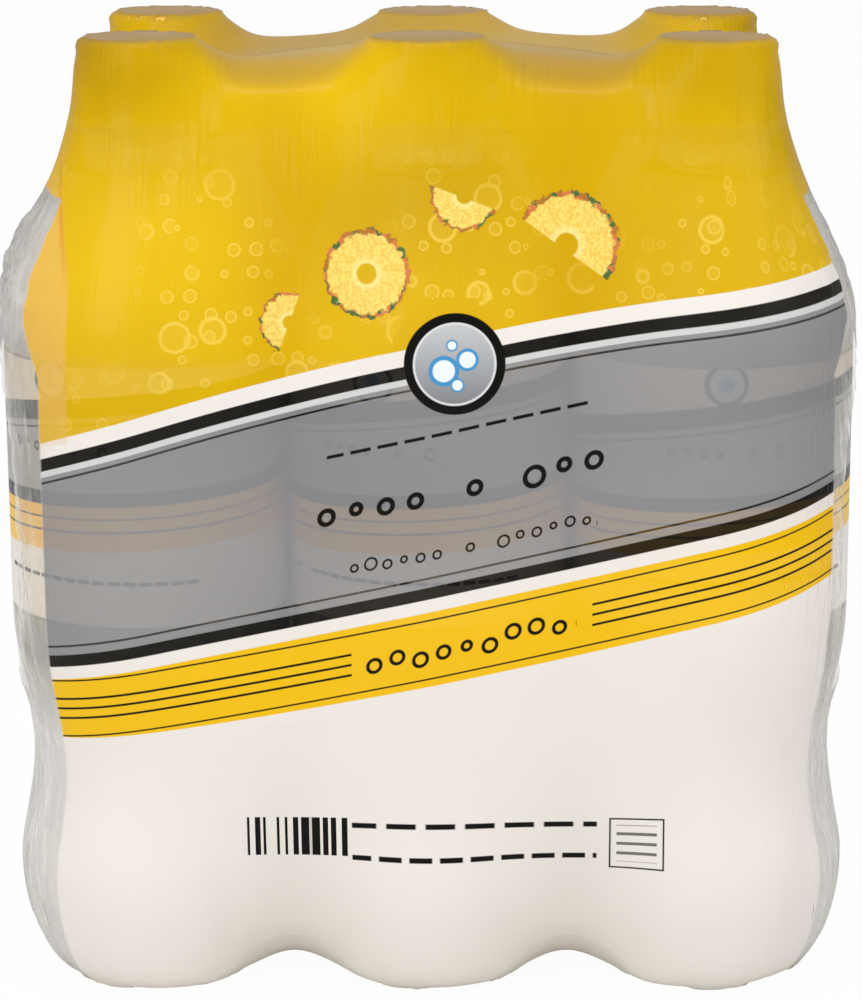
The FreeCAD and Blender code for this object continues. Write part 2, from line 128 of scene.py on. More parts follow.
# %% Floor, world and lights
FLOOR_WHITENESS, WORLD_LIGHT = 0.96, 0.55
bpy.context.scene.view_settings.view_transform = "Standard"
pick()
bpy.ops.mesh.primitive_plane_add(size=6.0, location=(0, 0, cad_low.z))
floor = bpy.context.object
floor.name = "floor"


def plain(name, colour, roughness=0.5):
    """A new material with nodes, and its shader."""
    material = bpy.data.materials.new(name)
    material.use_nodes = True
    shader = material.node_tree.nodes["Principled BSDF"]
    shader.inputs["Base Color"].default_value = (*colour, 1)
    shader.inputs["Roughness"].default_value = roughness
    return material, shader


floor_material, floor_shader = plain("studio_floor", (0.93, 0.93, 0.93), 0.9)
floor.data.materials.append(floor_material)


def new_node(tree, kind, **settings):
    """A new node, with inputs or options set by name; an underscore stands for a space."""
    node = tree.nodes.new(kind)
    for name, value in settings.items():
        if name.replace("_", " ") in node.inputs:
            node.inputs[name.replace("_", " ")].default_value = value
        else:
            setattr(node, name, value)
    return node


def feed(tree, *pairs):
    """Gives each socket an output, a field (one that holds a socket), a colour or a number."""
    for item, socket in pairs:
        item = getattr(item, "socket", item)
        if isinstance(item, bpy.types.NodeSocket):
            tree.links.new(item, socket)
        else:
            socket.default_value = (*item, 1) if isinstance(item, tuple) else item


def mix_shaders(tree, share, first, second):
    """The first shader where the share is 0 and the second where it is 1."""
    node = tree.nodes.new("ShaderNodeMixShader")
    feed(tree, (share, node.inputs["Fac"]), (first, node.inputs[1]), (second, node.inputs[2]))
    return node.outputs["Shader"]


def show(tree, shader):
    """Makes a shader the surface of its material."""
    tree.links.new(shader, tree.nodes["Material Output"].inputs["Surface"])


tree = floor_material.node_tree
to_camera = tree.nodes.new("ShaderNodeLightPath").outputs["Is Camera Ray"]
share = new_node(tree, "ShaderNodeMath", operation="MULTIPLY")
feed(tree, (to_camera, share.inputs[0]), (FLOOR_WHITENESS, share.inputs[1]))
white = new_node(tree, "ShaderNodeEmission", Color=(1, 1, 1, 1))
lit, blank = floor_shader.outputs["BSDF"], white.outputs["Emission"]
show(tree, mix_shaders(tree, share.outputs[0], lit, blank))

world = bpy.data.worlds.new("studio")
world.use_nodes = True
bpy.context.scene.world = world
tree = world.node_tree
background = tree.nodes["Background"]
rays = tree.nodes.new("ShaderNodeLightPath")
seen = new_node(tree, "ShaderNodeMath", operation="MAXIMUM")
level = new_node(tree, "ShaderNodeMapRange", To_Min=WORLD_LIGHT, To_Max=1.0)
feed(
    tree,
    ((1, 1, 1), background.inputs["Color"]),
    (rays.outputs["Is Camera Ray"], seen.inputs[0]),
    (rays.outputs["Is Transmission Ray"], seen.inputs[1]),
    (seen.outputs[0], level.inputs["Value"]),
    (level.outputs["Result"], background.inputs["Strength"]),
)


def soft_box(name, place, aim, size, power):
    """A rectangular lamp that looks at a point."""
    bpy.ops.object.light_add(type="AREA", location=place)
    lamp = bpy.context.object
    lamp.name = name
    lamp.data.shape = "RECTANGLE"
    lamp.data.size, lamp.data.size_y = size
    lamp.data.energy = power
    lamp.rotation_euler = (Vector(aim) - Vector(place)).to_track_quat("-Z", "Y").to_euler()
    return lamp


middle = Vector((0, 0, CAP_TOP / 2))
for name, place, size, power in (
    ("key", (-0.55, -1.0, 0.75), (0.5, 0.9), 5.4),
    ("fill", (0.9, -0.8, 0.5), (0.5, 0.9), 2.0),
    ("strip", (0.0, -0.25, 1.1), (0.8, 0.05), 3.2),
    ("top", (0.0, 0.1, 1.2), (0.9, 0.5), 0.8),
):
    soft_box(name, place, middle, size, power)

# %% [markdown]
# Film of this kind starts as a flat printed sheet, is wrapped round the bottles with its seam
# underneath, and is then shrunk by hot air until it is tight. It could be cut out of the
# solid in the frame, but that has no print layout and no room for wrinkles. So the same way
# is followed here: a flat grid, whose UV map is the flat sheet, is wrapped round the pack.

# %% A flat sheet
ALONG, AROUND = 256, 384
pick()
bpy.ops.mesh.primitive_grid_add(x_subdivisions=ALONG, y_subdivisions=AROUND, size=1.0)
film = bpy.context.object
film.name = "film"
film.data.name = "film"
print("the sheet has", len(film.data.polygons), "faces")

# %% [markdown]
# The wrap goes round the X axis. Its section is a polygon a little larger than the pack, and
# at both ends the sheet turns inwards, round the end bottles, to the edge of a rounded
# opening. Each point's place in the flat sheet says how far along and how far round it is.

# %% Wrapping the sheet round the pack
OPENING_HALF_DEPTH = 49.0 * MM
OPENING_LOW, OPENING_HIGH = 63.0 * MM, 155.0 * MM
OPENING_POWER = 3.2
SIDE = FILM_HIGH.y + 0.3 * MM
TOP = FILM_HIGH.z + 0.2 * MM
HALF_SECTION = [
    (0.0, 0.0),
    (-56 * MM, 0.0),
    (-SIDE, 12 * MM),
    (-SIDE, 158 * MM),
    (-ROW - 17.5 * MM, 202 * MM),
    (-ROW - 16 * MM, TOP),
    (0.0, TOP),
]


def rows_of(items, name):
    """A vector of each of a mesh's items, as rows of x, y, z."""
    flat = np.zeros(len(items) * 3, np.float32)
    items.foreach_get(name, flat)
    return flat.reshape(-1, 3).astype(float)


def positions(piece):
    """A piece's vertices as rows of x, y, z."""
    return rows_of(piece.data.vertices, "co")


def section_points(shares):
    """The points (y, z) at these shares of the way round the section, and its length."""
    loop = HALF_SECTION + [(-y, z) for y, z in reversed(HALF_SECTION[:-1])]
    corners = np.array(loop)
    steps = np.linalg.norm(np.diff(corners, axis=0), axis=1)
    distance = np.concatenate([[0.0], np.cumsum(steps)])
    way = shares * distance[-1]
    points = [np.interp(way, distance, corners[:, axis]) for axis in (0, 1)]
    return np.stack(points, axis=1), distance[-1]


def bottle_profile(step):
    """A bottle's farthest radius at each height, in steps, read from one in the frame."""
    points = positions(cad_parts["bottle_front_left"])
    axis = AXES["front_left"]
    radius = np.hypot(points[:, 0] - axis.x, points[:, 1] - axis.y)
    rows = np.round(points[:, 2] / step).astype(int)
    heights = np.unique(rows)
    return heights * step, np.array([radius[rows == row].max() for row in heights])


def opening_points(section):
    """The points (x, y, z) of the opening's rounded edge that face the section's points."""
    centre = (OPENING_LOW + OPENING_HIGH) / 2
    half_height = (OPENING_HIGH - OPENING_LOW) / 2
    angle = np.arctan2(section[:, 1] - centre, section[:, 0])
    far = (np.abs(np.cos(angle)) / OPENING_HALF_DEPTH) ** OPENING_POWER
    far += (np.abs(np.sin(angle)) / half_height) ** OPENING_POWER
    far **= -1 / OPENING_POWER
    y = far * np.cos(angle)
    aside = np.maximum(np.abs(y) - ROW, 0.0)
    z = centre + far * np.sin(angle)
    reach = np.interp(z, *bottle_profile(4 * MM)) + 0.6 * MM
    x = PITCH + np.sqrt(reach**2 - aside**2)
    return np.stack([x, y, z], axis=1)


def set_positions(piece, points):
    """Moves a piece's vertices to these rows of x, y, z."""
    piece.data.vertices.foreach_set("co", np.ascontiguousarray(points, np.float32).ravel())
    piece.data.update()


flat = positions(film)
section, GIRTH = section_points(flat[:, 1] + 0.5)
opening = opening_points(section)
END_LENGTH = math.pi / 2 * BODY_RADIUS
HALF_LENGTH = PITCH + END_LENGTH
along = flat[:, 0] * 2 * HALF_LENGTH
turn = np.clip((np.abs(along) - PITCH) / END_LENGTH, 0, 1) * math.pi / 2
wrapped = np.empty_like(flat)
past = np.sin(turn) * (opening[:, 0] - PITCH)
wrapped[:, 0] = np.sign(along) * (np.minimum(np.abs(along), PITCH) + past)
for axis, column in ((1, 0), (2, 1)):
    start = section[:, column]
    wrapped[:, axis] = opening[:, axis] + (start - opening[:, axis]) * np.cos(turn)
set_positions(film, wrapped)
print("sheet", round(2 * HALF_LENGTH / MM), "by", round(GIRTH / MM), "mm")

# %% The seam under the pack


def weld(piece, threshold):
    """Merges the vertices that lie together."""
    pick(piece)
    bpy.ops.object.mode_set(mode="EDIT")
    bpy.ops.mesh.select_all(action="SELECT")
    bpy.ops.mesh.remove_doubles(threshold=threshold)
    bpy.ops.object.mode_set(mode="OBJECT")


weld(film, 0.01 * MM)
bpy.ops.object.mode_set(mode="EDIT")
bpy.ops.mesh.normals_make_consistent(inside=False)
bpy.ops.object.mode_set(mode="OBJECT")
bpy.ops.object.shade_smooth()
sample = film.data.polygons[ALONG * AROUND // 4]
if sample.normal.dot(sample.center - middle) < 0:
    film.data.flip_normals()
print("vertices after the seam is welded:", len(film.data.vertices))

# %% [markdown]
# Shrinking has two sides: the film pulls itself smooth, and the bottles hold it out. The
# smooth modifier does the first. A shrinkwrap modifier could do the second, but where the film
# spans from one bottle to the next it takes the wrong side of a cap for the near one. So each
# bottle is measured instead, with rays from outside: how far it reaches at each height, and
# how high and how low it is at each distance from its axis. Any point of the film that is
# nearer than a small gap is then moved straight out.

# %% Measuring the bottles
RAY_STEP = 0.5 * MM
SPOKES = 72
FAR = 60 * MM


def joined_copy(nodes, name):
    """One merged copy of some of the frame's solids."""
    copies = []
    for node in nodes:
        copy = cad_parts[node].copy()
        copy.data = copy.data.copy()
        copy.parent = None
        for key in list(copy.keys()):
            del copy[key]
        bpy.context.scene.collection.objects.link(copy)
        copies.append(copy)
    pick(copies[0])
    for copy in copies:
        copy.select_set(True)
    if len(copies) > 1:
        bpy.ops.object.join()
    joined = bpy.context.object
    joined.name = name
    return joined


def hits(solid, starts, way):
    """How far each ray goes before it meets the solid; FAR where it meets nothing."""
    result = np.full(len(starts), FAR)
    for i, (start, direction) in enumerate(zip(starts, way)):
        hit, point, _, _ = solid.ray_cast(start, direction, distance=FAR)
        if hit:
            result[i] = (point - Vector(start)).length
    return result


def measure(place):
    """A bottle's reach by height, and its top and underside by radius, for each spoke."""
    solid = joined_copy([f"{kind}_{place}" for kind in ("bottle", "label", "cap")], "measured")
    bpy.context.view_layer.update()
    axis = AXES[place]
    spokes = np.arange(SPOKES) * 2 * math.pi / SPOKES
    heights = np.arange(RAY_STEP, CAP_TOP, RAY_STEP)
    radii = np.arange(0, FAR / 1.5, RAY_STEP)
    tables = []
    for rows, kind in ((heights, "side"), (radii, "top"), (radii, "under")):
        row, spoke = [grid.ravel() for grid in np.meshgrid(rows, spokes, indexing="ij")]
        out = np.stack([np.cos(spoke), np.sin(spoke), np.zeros_like(spoke)], axis=1)
        centre = np.array([axis.x, axis.y, 0.0])
        up = np.array([0.0, 0.0, 1.0])
        if kind == "side":
            starts, ways = centre + out * FAR + up * row[:, None], -out
        elif kind == "top":
            starts = centre + out * row[:, None] + up * (CAP_TOP + MM)
            ways = np.tile(-up, (len(row), 1))
        else:
            starts = centre + out * row[:, None] - up * MM
            ways = np.tile(up, (len(row), 1))
        length = hits(solid, starts, ways).reshape(len(rows), SPOKES)
        if kind == "side":
            tables.append(FAR - length)
        elif kind == "top":
            tables.append(np.where(length < FAR, CAP_TOP + MM - length, CAP_TOP - FAR))
        else:
            tables.append(length - MM)
    bpy.data.objects.remove(solid)
    return tables


REACH = {place: measure(place) for place in PLACES}
print("reach of a bottle at half height", round(REACH["front_left"][0][220].max() / MM, 2))

# %% Keeping the film outside the bottles
FLOOR_GAP = 0.05 * MM
LOW_PART, HIGH_PART = 20 * MM, 150 * MM


def read_table(table, rows, spokes):
    """Values between a table's rows and round its spokes."""
    rows = np.clip(rows, 0, len(table) - 1.001)
    low_row, low_spoke = rows.astype(int), np.floor(spokes).astype(int)
    across, turned = rows - low_row, spokes - low_spoke
    first, second = low_spoke % SPOKES, (low_spoke + 1) % SPOKES
    low = table[low_row, first] * (1 - turned) + table[low_row, second] * turned
    high = table[low_row + 1, first] * (1 - turned) + table[low_row + 1, second] * turned
    return low * (1 - across) + high * across


def push_out(points, gap):
    """Moves points that are nearer a bottle than the gap straight out, and returns them."""
    points = points.copy()
    column = np.clip(np.round(points[:, 0] / PITCH), -1, 1)
    for place in PLACES:
        axis = AXES[place]
        side, top, under = REACH[place]
        mine = (column == round(axis.x / PITCH)) & (points[:, 1] * axis.y > 0)
        across = points[mine, 0] - axis.x, points[mine, 1] - axis.y
        away = np.hypot(*across)
        spokes = (np.arctan2(across[1], across[0]) % (2 * math.pi)) * SPOKES / (2 * math.pi)
        z = points[mine, 2]
        height = np.clip(z, 1.2 * MM, CAP_TOP - 0.3 * MM)
        local = gap[mine] if isinstance(gap, np.ndarray) else gap
        out = read_table(side, height / RAY_STEP - 1, spokes) + local - away
        within = np.maximum(away - local, 0) / RAY_STEP
        rise = read_table(top, within, spokes) + local - z
        drop = z - read_table(under, within, spokes) + local
        lift = np.where(z > HIGH_PART, rise, np.where(z < LOW_PART, drop, FAR))
        inside = (out > 0) & (lift > 0)
        share = np.where(inside, out * lift / np.maximum(out**2 + lift**2, 1e-12), 0.0)
        scale = share * lift / np.maximum(away, 1e-6)
        moved = points[mine]
        moved[:, 0] += across[0] * scale
        moved[:, 1] += across[1] * scale
        moved[:, 2] += share * out * np.where(z > HIGH_PART, 1, -1)
        points[mine] = moved
    points[:, 2] = np.maximum(points[:, 2], FLOOR_GAP)
    return points


# %% [markdown]
# The sheet is first cast straight in onto the frame's own smooth film, by a shrinkwrap
# modifier that projects along the normals. Its free edges stay where they are.

# %% Drawing the film tight
counts = np.zeros(len(film.data.vertices), int)
ends = np.zeros(len(film.data.edges) * 2, np.int32)
film.data.edges.foreach_get("vertices", ends)
np.add.at(counts, ends, 1)
RIM = counts < 4


def group_vertices(piece, name, chosen):
    """Makes a vertex group of the chosen vertices."""
    vertices = piece.vertex_groups.new(name=name)
    vertices.add([int(i) for i in np.nonzero(chosen)[0]], 1.0, "REPLACE")


def apply_modifier(piece, kind, **settings):
    """Adds one modifier and applies it."""
    modifier = piece.modifiers.new(kind.lower(), kind)
    for name, value in settings.items():
        setattr(modifier, name, value)
    pick(piece)
    bpy.ops.object.modifier_apply(modifier=modifier.name)


group_vertices(film, "inside_edges", ~RIM)
skin = joined_copy(["film_sleeve"], "smooth_film")
weld(skin, 0.002 * MM)
apply_modifier(
    film,
    "SHRINKWRAP",
    target=skin,
    wrap_method="PROJECT",
    use_negative_direction=True,
    use_positive_direction=True,
    project_limit=0.03,
    vertex_group="inside_edges",
)
bpy.data.objects.remove(skin)

# %% [markdown]
# Between the caps nothing holds the film up, and its pull round the pack draws it down there,
# into shallow saddles with steep sides. Smoothing alone would need hundreds of rounds to get
# so far, so the saddles are pressed in first, the film between the caps is smoothed on its
# own, and the rounds that follow make it even and press it out wherever a bottle is.

# %% Pressing in the saddles between the caps
SADDLE_DEPTH = 3.6 * MM
SADDLE_START, SADDLE_END = 13.0 * MM, 20.5 * MM
SADDLE_HEIGHT = 36 * MM


def smooth_step(value, low, high):
    """0 below low and 1 above high, with soft ends."""
    share = np.clip((value - low) / (high - low), 0, 1)
    return share * share * (3 - 2 * share)


def from_nearest_cap(points):
    """How far each point is from the axis of the nearest cap."""
    column = np.clip(np.round(points[:, 0] / PITCH), -1, 1) * PITCH
    row = np.where(points[:, 1] < 0, -ROW, ROW)
    return np.hypot(points[:, 0] - column, points[:, 1] - row)


def press_saddles(points):
    """Lowers the film between the caps."""
    away = from_nearest_cap(points)
    inner = smooth_step(-np.abs(points[:, 0]), -PITCH - 12 * MM, -PITCH + 8 * MM)
    high = smooth_step(points[:, 2], CAP_TOP - SADDLE_HEIGHT, CAP_TOP - 2 * MM)
    points = points.copy()
    points[:, 2] -= SADDLE_DEPTH * smooth_step(away, SADDLE_START, SADDLE_END) * high * inner
    return points


set_positions(film, press_saddles(positions(film)))
print("the saddles are", SADDLE_DEPTH / MM, "mm deep")

# %% Smoothing the film between the caps
FILM_GAP = 0.3 * MM
SPAN_START, SPAN_LOW = 15.5 * MM, 190 * MM
pressed = positions(film)
spans = (from_nearest_cap(pressed) > SPAN_START) & (pressed[:, 2] > SPAN_LOW) & ~RIM
group_vertices(film, "between_caps", spans)
apply_modifier(film, "SMOOTH", factor=0.5, iterations=160, vertex_group="between_caps")
set_positions(film, push_out(positions(film), FILM_GAP))
print("points of film between the caps:", int(spans.sum()))

# %% Shrinking the film onto the bottles
TIGHTENING_ROUNDS = 22
for _ in range(TIGHTENING_ROUNDS):
    apply_modifier(film, "SMOOTH", factor=0.5, iterations=3, vertex_group="inside_edges")
    before = positions(film)
    after = push_out(before, FILM_GAP)
    after[RIM] = before[RIM]
    set_positions(film, after)
shape = positions(film)
print("film box", np.round(shape.min(0) / MM, 1), np.round(shape.max(0) / MM, 1))
print("farthest move of the last round", round(np.abs(after - before).max() / MM, 2))
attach(film, "root")
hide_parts("film_sleeve")

# %% [markdown]
# The edges of real film are never quite tight: they shrank with nothing behind them, so they
# are crinkled. The folds run away from the opening's edge, and are deepest over the shoulders,
# where the sheet had most to take in. A displacement along the normals could make them, but
# here they are worked out in the flat sheet, so that they follow the film round the corner.

# %% Crinkles at the ends
count = len(film.data.vertices)
sheet_uv = np.zeros(len(film.data.loops) * 2, np.float32)
film.data.uv_layers[0].data.foreach_get("uv", sheet_uv)
owner = np.zeros(len(film.data.loops), np.int32)
film.data.loops.foreach_get("vertex_index", owner)
flat_place = np.zeros((count, 2))
flat_place[owner] = sheet_uv.reshape(-1, 2)
FROM_EDGE = HALF_LENGTH - np.abs(flat_place[:, 0] - 0.5) * 2 * HALF_LENGTH
ROUND = flat_place[:, 1] * GIRTH


def folds(way, widths, phases):
    """Uneven folds between 0 and 1, from waves of several widths along the way."""
    total = sum(np.sin(2 * math.pi * way / width + phase) for width, phase in zip(widths, phases))
    return 0.5 + 0.5 * np.tanh(1.3 * total)


def bump_at(value, centre, spread):
    """1 at the centre, falling off evenly on both sides."""
    return np.exp(-(((value - centre) / spread) ** 2))


def band_of(value, rise, fall):
    """1 between two soft ends, each given by where it starts and stops in millimetres."""
    risen = smooth_step(value, rise[0] * MM, rise[1] * MM)
    return risen * smooth_step(-value, -fall[1] * MM, -fall[0] * MM)


SHOULDER_BAND, LABEL_BAND = ((148, 166), (188, 205)), ((84, 96), (138, 150))
EDGE_BAND = (0, 8), (14, 34)
LEFT_SLACK, RIGHT_SLACK, LABEL_SLACK = 3.3 * MM, 0.9 * MM, 1.1 * MM
shape = positions(film)
left_end = shape[:, 0] < 0
height = shape[:, 2]
over_shoulder = band_of(height, *SHOULDER_BAND)
lean = ROUND + 0.35 * FROM_EDGE * np.sin(ROUND / (23 * MM))
crinkle = folds(lean, (9.5 * MM, 6.1 * MM, 15.0 * MM), (0.4, 2.1, 4.0))
rim_share = np.exp(-FROM_EDGE / (11 * MM))
depth = (0.35 + 1.15 * over_shoulder) * MM * np.where(left_end, 1.0, 0.75) * rim_share
lift = crinkle * depth
slack = bump_at(height, 173 * MM, 10 * MM) * band_of(FROM_EDGE, *EDGE_BAND)
side_folds = folds(height + 0.5 * ROUND, (7.3 * MM, 12.7 * MM), (1.0, 3.3))
lift += np.where(left_end, LEFT_SLACK, RIGHT_SLACK) * slack * (0.72 + 0.4 * side_folds)
over_label = band_of(height, *LABEL_BAND) * np.exp(-FROM_EDGE / (9 * MM))
lift += LABEL_SLACK * over_label * np.where(left_end, 0.3, 1.0)
print("deepest crinkle", round(lift.max() / MM, 2), "mm")

# %% [markdown]
# The folded sheet has to stay outside the bottles as well. Its faces are flat, so they would
# cut the sharp edge of a cap's rim or of a neck's ring between two vertices: there the gap is
# wider. Nothing may reach past the frame's own film either, so the sheet is held inside its box.

# %% Laying the folds on the bottles
RIM_PLACE, RING_PLACE = (13.8 * MM, CAP_TOP - 0.4 * MM), (16.3 * MM, 201.8 * MM)
normals = rows_of(film.data.vertex_normals, "vector")
normals[:, 2] *= 0.5
away = from_nearest_cap(shape)
near_rim = bump_at(away, RIM_PLACE[0], 2.2 * MM) * bump_at(height, RIM_PLACE[1], 2.4 * MM)
near_ring = bump_at(away, RING_PLACE[0], 2.2 * MM) * bump_at(height, RING_PLACE[1], 2.6 * MM)
gap = (0.22 + 0.45 * np.maximum(near_rim, near_ring)) * MM
folded = push_out(shape + normals * lift[:, None], gap)
for axis in (0, 1):
    folded[:, axis] = np.clip(folded[:, axis], FILM_LOW[axis], FILM_HIGH[axis])
folded[:, 2] = np.minimum(folded[:, 2], FILM_HIGH.z)
set_positions(film, folded)
apply_modifier(film, "SMOOTH", factor=0.4, iterations=1)
folded = push_out(positions(film), gap)
folded[:, 2] = np.minimum(folded[:, 2], FILM_HIGH.z)
set_positions(film, folded)
print("widest gap kept over an edge", round(gap.max() / MM, 2), "mm")

# %% [markdown]
# The print was made on the flat sheet, upright on both sides of the pack. A material can
# only follow it if each point of the film knows its place in the artwork. So the film gets
# two attributes. "print" holds how far along the unrolled side a point is and how high it is;
# at the back the same artwork starts from the other end. "touch" holds how near a point is to
# a cap, to an edge of the film and to the gap between two bottles. Its first part also holds
# high faces that face up. The colours lay a dull painted reflection there and over the caps,
# and painted shade in the gaps between the bottles.

# %% Where each point is in the artwork
BACK_SHIFT = 7.0 * MM
FLAT_TOP_LOW, FLAT_TOP_HIGH = 200 * MM, 212 * MM


def unrolled(points):
    """How far along the unrolled side each point is, from the middle of the front."""
    front = points[:, 1] < 0
    past = np.maximum(np.abs(points[:, 0]) - PITCH, 0)
    outwards = np.where(front, -points[:, 1], points[:, 1]) - ROW
    least = 12 * MM * smooth_step(points[:, 2], FLAT_TOP_LOW, FLAT_TOP_HIGH)
    outwards = np.where(least > 0, np.maximum(outwards, least), outwards)
    angle = np.arctan2(past, outwards)
    along = np.minimum(np.abs(points[:, 0]), PITCH) + np.where(past > 0, angle * BODY_RADIUS, 0)
    return np.sign(points[:, 0]) * along


def add_attribute(piece, name, columns):
    """Stores three numbers at each vertex."""
    attribute = piece.data.attributes.new(name, "FLOAT_VECTOR", "POINT")
    attribute.data.foreach_set("vector", np.stack(columns, axis=1).astype(np.float32).ravel())


shape = positions(film)
along_print = unrolled(shape)
at_back = shape[:, 1] > 0
design = np.where(at_back, BACK_SHIFT - along_print, along_print)
add_attribute(film, "print", [design / MM, shape[:, 2] / MM, np.zeros(count)])
# Painted reflection: the film over the caps, where a cap also shows through, and on high level
# faces is later coloured a dull beige for the studio it reflects.
cap_and_top_reflection = smooth_step(-from_nearest_cap(shape), -14.2 * MM, -12.0 * MM)
cap_and_top_reflection *= smooth_step(shape[:, 2], CAP_TOP - 2.6 * MM, CAP_TOP - 0.8 * MM)
facing_up = rows_of(film.data.vertex_normals, "vector")[:, 2]
level_top = smooth_step(facing_up, 0.6, 0.93)
level_top *= shape[:, 2] > CAP_TOP - 18 * MM
cap_and_top_reflection = np.maximum(cap_and_top_reflection, 0.5 * level_top)
between = bump_at(np.abs(np.abs(shape[:, 0]) - PITCH / 2), 0, 9 * MM)
add_attribute(film, "touch", [cap_and_top_reflection, np.exp(-FROM_EDGE / (10 * MM)), between])
print("the artwork runs from", round(design.min() / MM), "to", round(design.max() / MM), "mm")

# %% [markdown]
# A print of stripes, rings and marks is drawn with many small sums. Adding each Math node by
# hand makes long code, so a small class stands for a number that changes over the surface:
# adding or comparing two of them adds the node and its links.

# %% Sums in a node tree


class Field:
    """A number that changes over the surface, held by a socket of a node tree."""

    def __init__(self, tree, socket):
        self.tree, self.socket = tree, socket

    def math(self, operation, *others, clamp=False):
        node = new_node(self.tree, "ShaderNodeMath", operation=operation, use_clamp=clamp)
        feed(self.tree, *zip((self, *others), node.inputs))
        return Field(self.tree, node.outputs[0])

    def __add__(self, other):
        return self.math("ADD", other)

    def __sub__(self, other):
        return self.math("SUBTRACT", other)

    def __mul__(self, other):
        return self.math("MULTIPLY", other)

    def __truediv__(self, other):
        return self.math("DIVIDE", other)

    def above(self, edge, soft=0.2):
        """1 where this is over the edge and 0 under it, with a soft line between."""
        scale = 1.0 / soft
        if isinstance(edge, Field):
            return (self - edge).math("MULTIPLY_ADD", scale, 0.5, clamp=True)
        return self.math("MULTIPLY_ADD", scale, 0.5 - edge * scale, clamp=True)

    def below(self, edge, soft=0.2):
        return self.above(edge, soft).flip()

    def flip(self):
        return self.math("MULTIPLY_ADD", -1.0, 1.0)

    def near(self, centre, half, soft=0.2):
        """1 within half of the centre."""
        return (self - centre).math("ABSOLUTE").below(half, soft)


def split_vector(tree, socket):
    """The three fields of a vector socket."""
    node = tree.nodes.new("ShaderNodeSeparateXYZ")
    tree.links.new(socket, node.inputs[0])
    return [Field(tree, output) for output in node.outputs]


def join_vector(tree, *parts):
    """A vector socket from up to three fields or numbers."""
    node = tree.nodes.new("ShaderNodeCombineXYZ")
    feed(tree, *zip(parts, node.inputs))
    return node.outputs[0]


def srgb(red, green, blue):
    """A screen colour from 0 to 255 as the linear colour that a shader takes."""
    shares = [value / 255 for value in (red, green, blue)]
    return tuple(x / 12.92 if x <= 0.04 else ((x + 0.055) / 1.055) ** 2.4 for x in shares)


def paint(tree, under, mask, colour):
    """Lays a colour over another where the mask is 1; both may be sockets."""
    node = new_node(tree, "ShaderNodeMix", data_type="RGBA")
    feed(tree, (mask, node.inputs[0]), (under, node.inputs[6]), (colour, node.inputs[7]))
    return node.outputs[2]


def paint_all(tree, colour, *layers):
    """Lays several colours over one another in turn, each given with its mask."""
    for mask, upper_colour in layers:
        colour = paint(tree, colour, mask, upper_colour)
    return colour


def blend_values(low, high, mask):
    """Low where the mask is 0 and high where it is 1."""
    return mask.math("MULTIPLY_ADD", high - low, low)


def group(name, inputs, outputs):
    """A new shader node group with named sockets, and its tree's input fields."""
    tree = bpy.data.node_groups.new(name, "ShaderNodeTree")
    for title, value in inputs.items():
        socket = tree.interface.new_socket(title, in_out="INPUT", socket_type="NodeSocketFloat")
        socket.default_value = value
    for title, kind in outputs.items():
        tree.interface.new_socket(title, in_out="OUTPUT", socket_type=kind)
    start = tree.nodes.new("NodeGroupInput")
    fields = [Field(tree, start.outputs[title]) for title in inputs]
    return tree, fields, tree.nodes.new("NodeGroupOutput")


def use(tree, effect, **values):
    """Places a node group in a tree, with its inputs set or linked, and returns its outputs."""
    node = new_node(tree, "ShaderNodeGroup", node_tree=effect)
    feed(tree, *[(value, node.inputs[title]) for title, value in values.items()])
    return node.outputs


def drawn(tree, effect, **values):
    """The first output of a node group, as a field."""
    return Field(tree, use(tree, effect, **values)[0])


def texture(tree, kind, vector, **settings):
    """A texture node on a vector socket."""
    node = new_node(tree, kind, **settings)
    tree.links.new(vector, node.inputs["Vector"])
    return node


def noise(tree, vector, **settings):
    """The value of a flat noise texture."""
    node = texture(tree, "ShaderNodeTexNoise", vector, noise_dimensions="2D", Scale=1.0, **settings)
    return Field(tree, node.outputs[0])


def chance_cells(tree, vector, randomness=1.0):
    """How far it is to the middle of the nearest chance cell, and two chance values of it."""
    look = {"voronoi_dimensions": "2D", "Scale": 1.0, "Randomness": randomness}
    node = texture(tree, "ShaderNodeTexVoronoi", vector, **look)
    kinds = tree.nodes.new("ShaderNodeSeparateColor")
    tree.links.new(node.outputs["Color"], kinds.inputs[0])
    return [Field(tree, socket) for socket in (node.outputs["Distance"], *kinds.outputs[:2])]


def object_place(tree):
    """The socket of a point's place in the object."""
    return tree.nodes.new("ShaderNodeTexCoord").outputs["Object"]


def object_noise(tree, scale, detail):
    """The value of a noise texture that runs through the whole piece."""
    node = texture(tree, "ShaderNodeTexNoise", object_place(tree), Scale=scale, Detail=detail)
    return Field(tree, node.outputs[0])


def bumped(tree, height, strength, distance):
    """The normal of a surface with this height on it."""
    node = new_node(tree, "ShaderNodeBump", Strength=strength, Distance=distance)
    feed(tree, (height, node.inputs["Height"]))
    return node.outputs["Normal"]


print("helpers for the finishes are ready")

# %% [markdown]
# Four effects are used on more than one finish, or more than once, and each is a node group:
# a row of small plain marks where a pack has its lines of words, rings of rising bubbles, a
# round slice of fruit, and the faint long wrinkles of shrunk film.

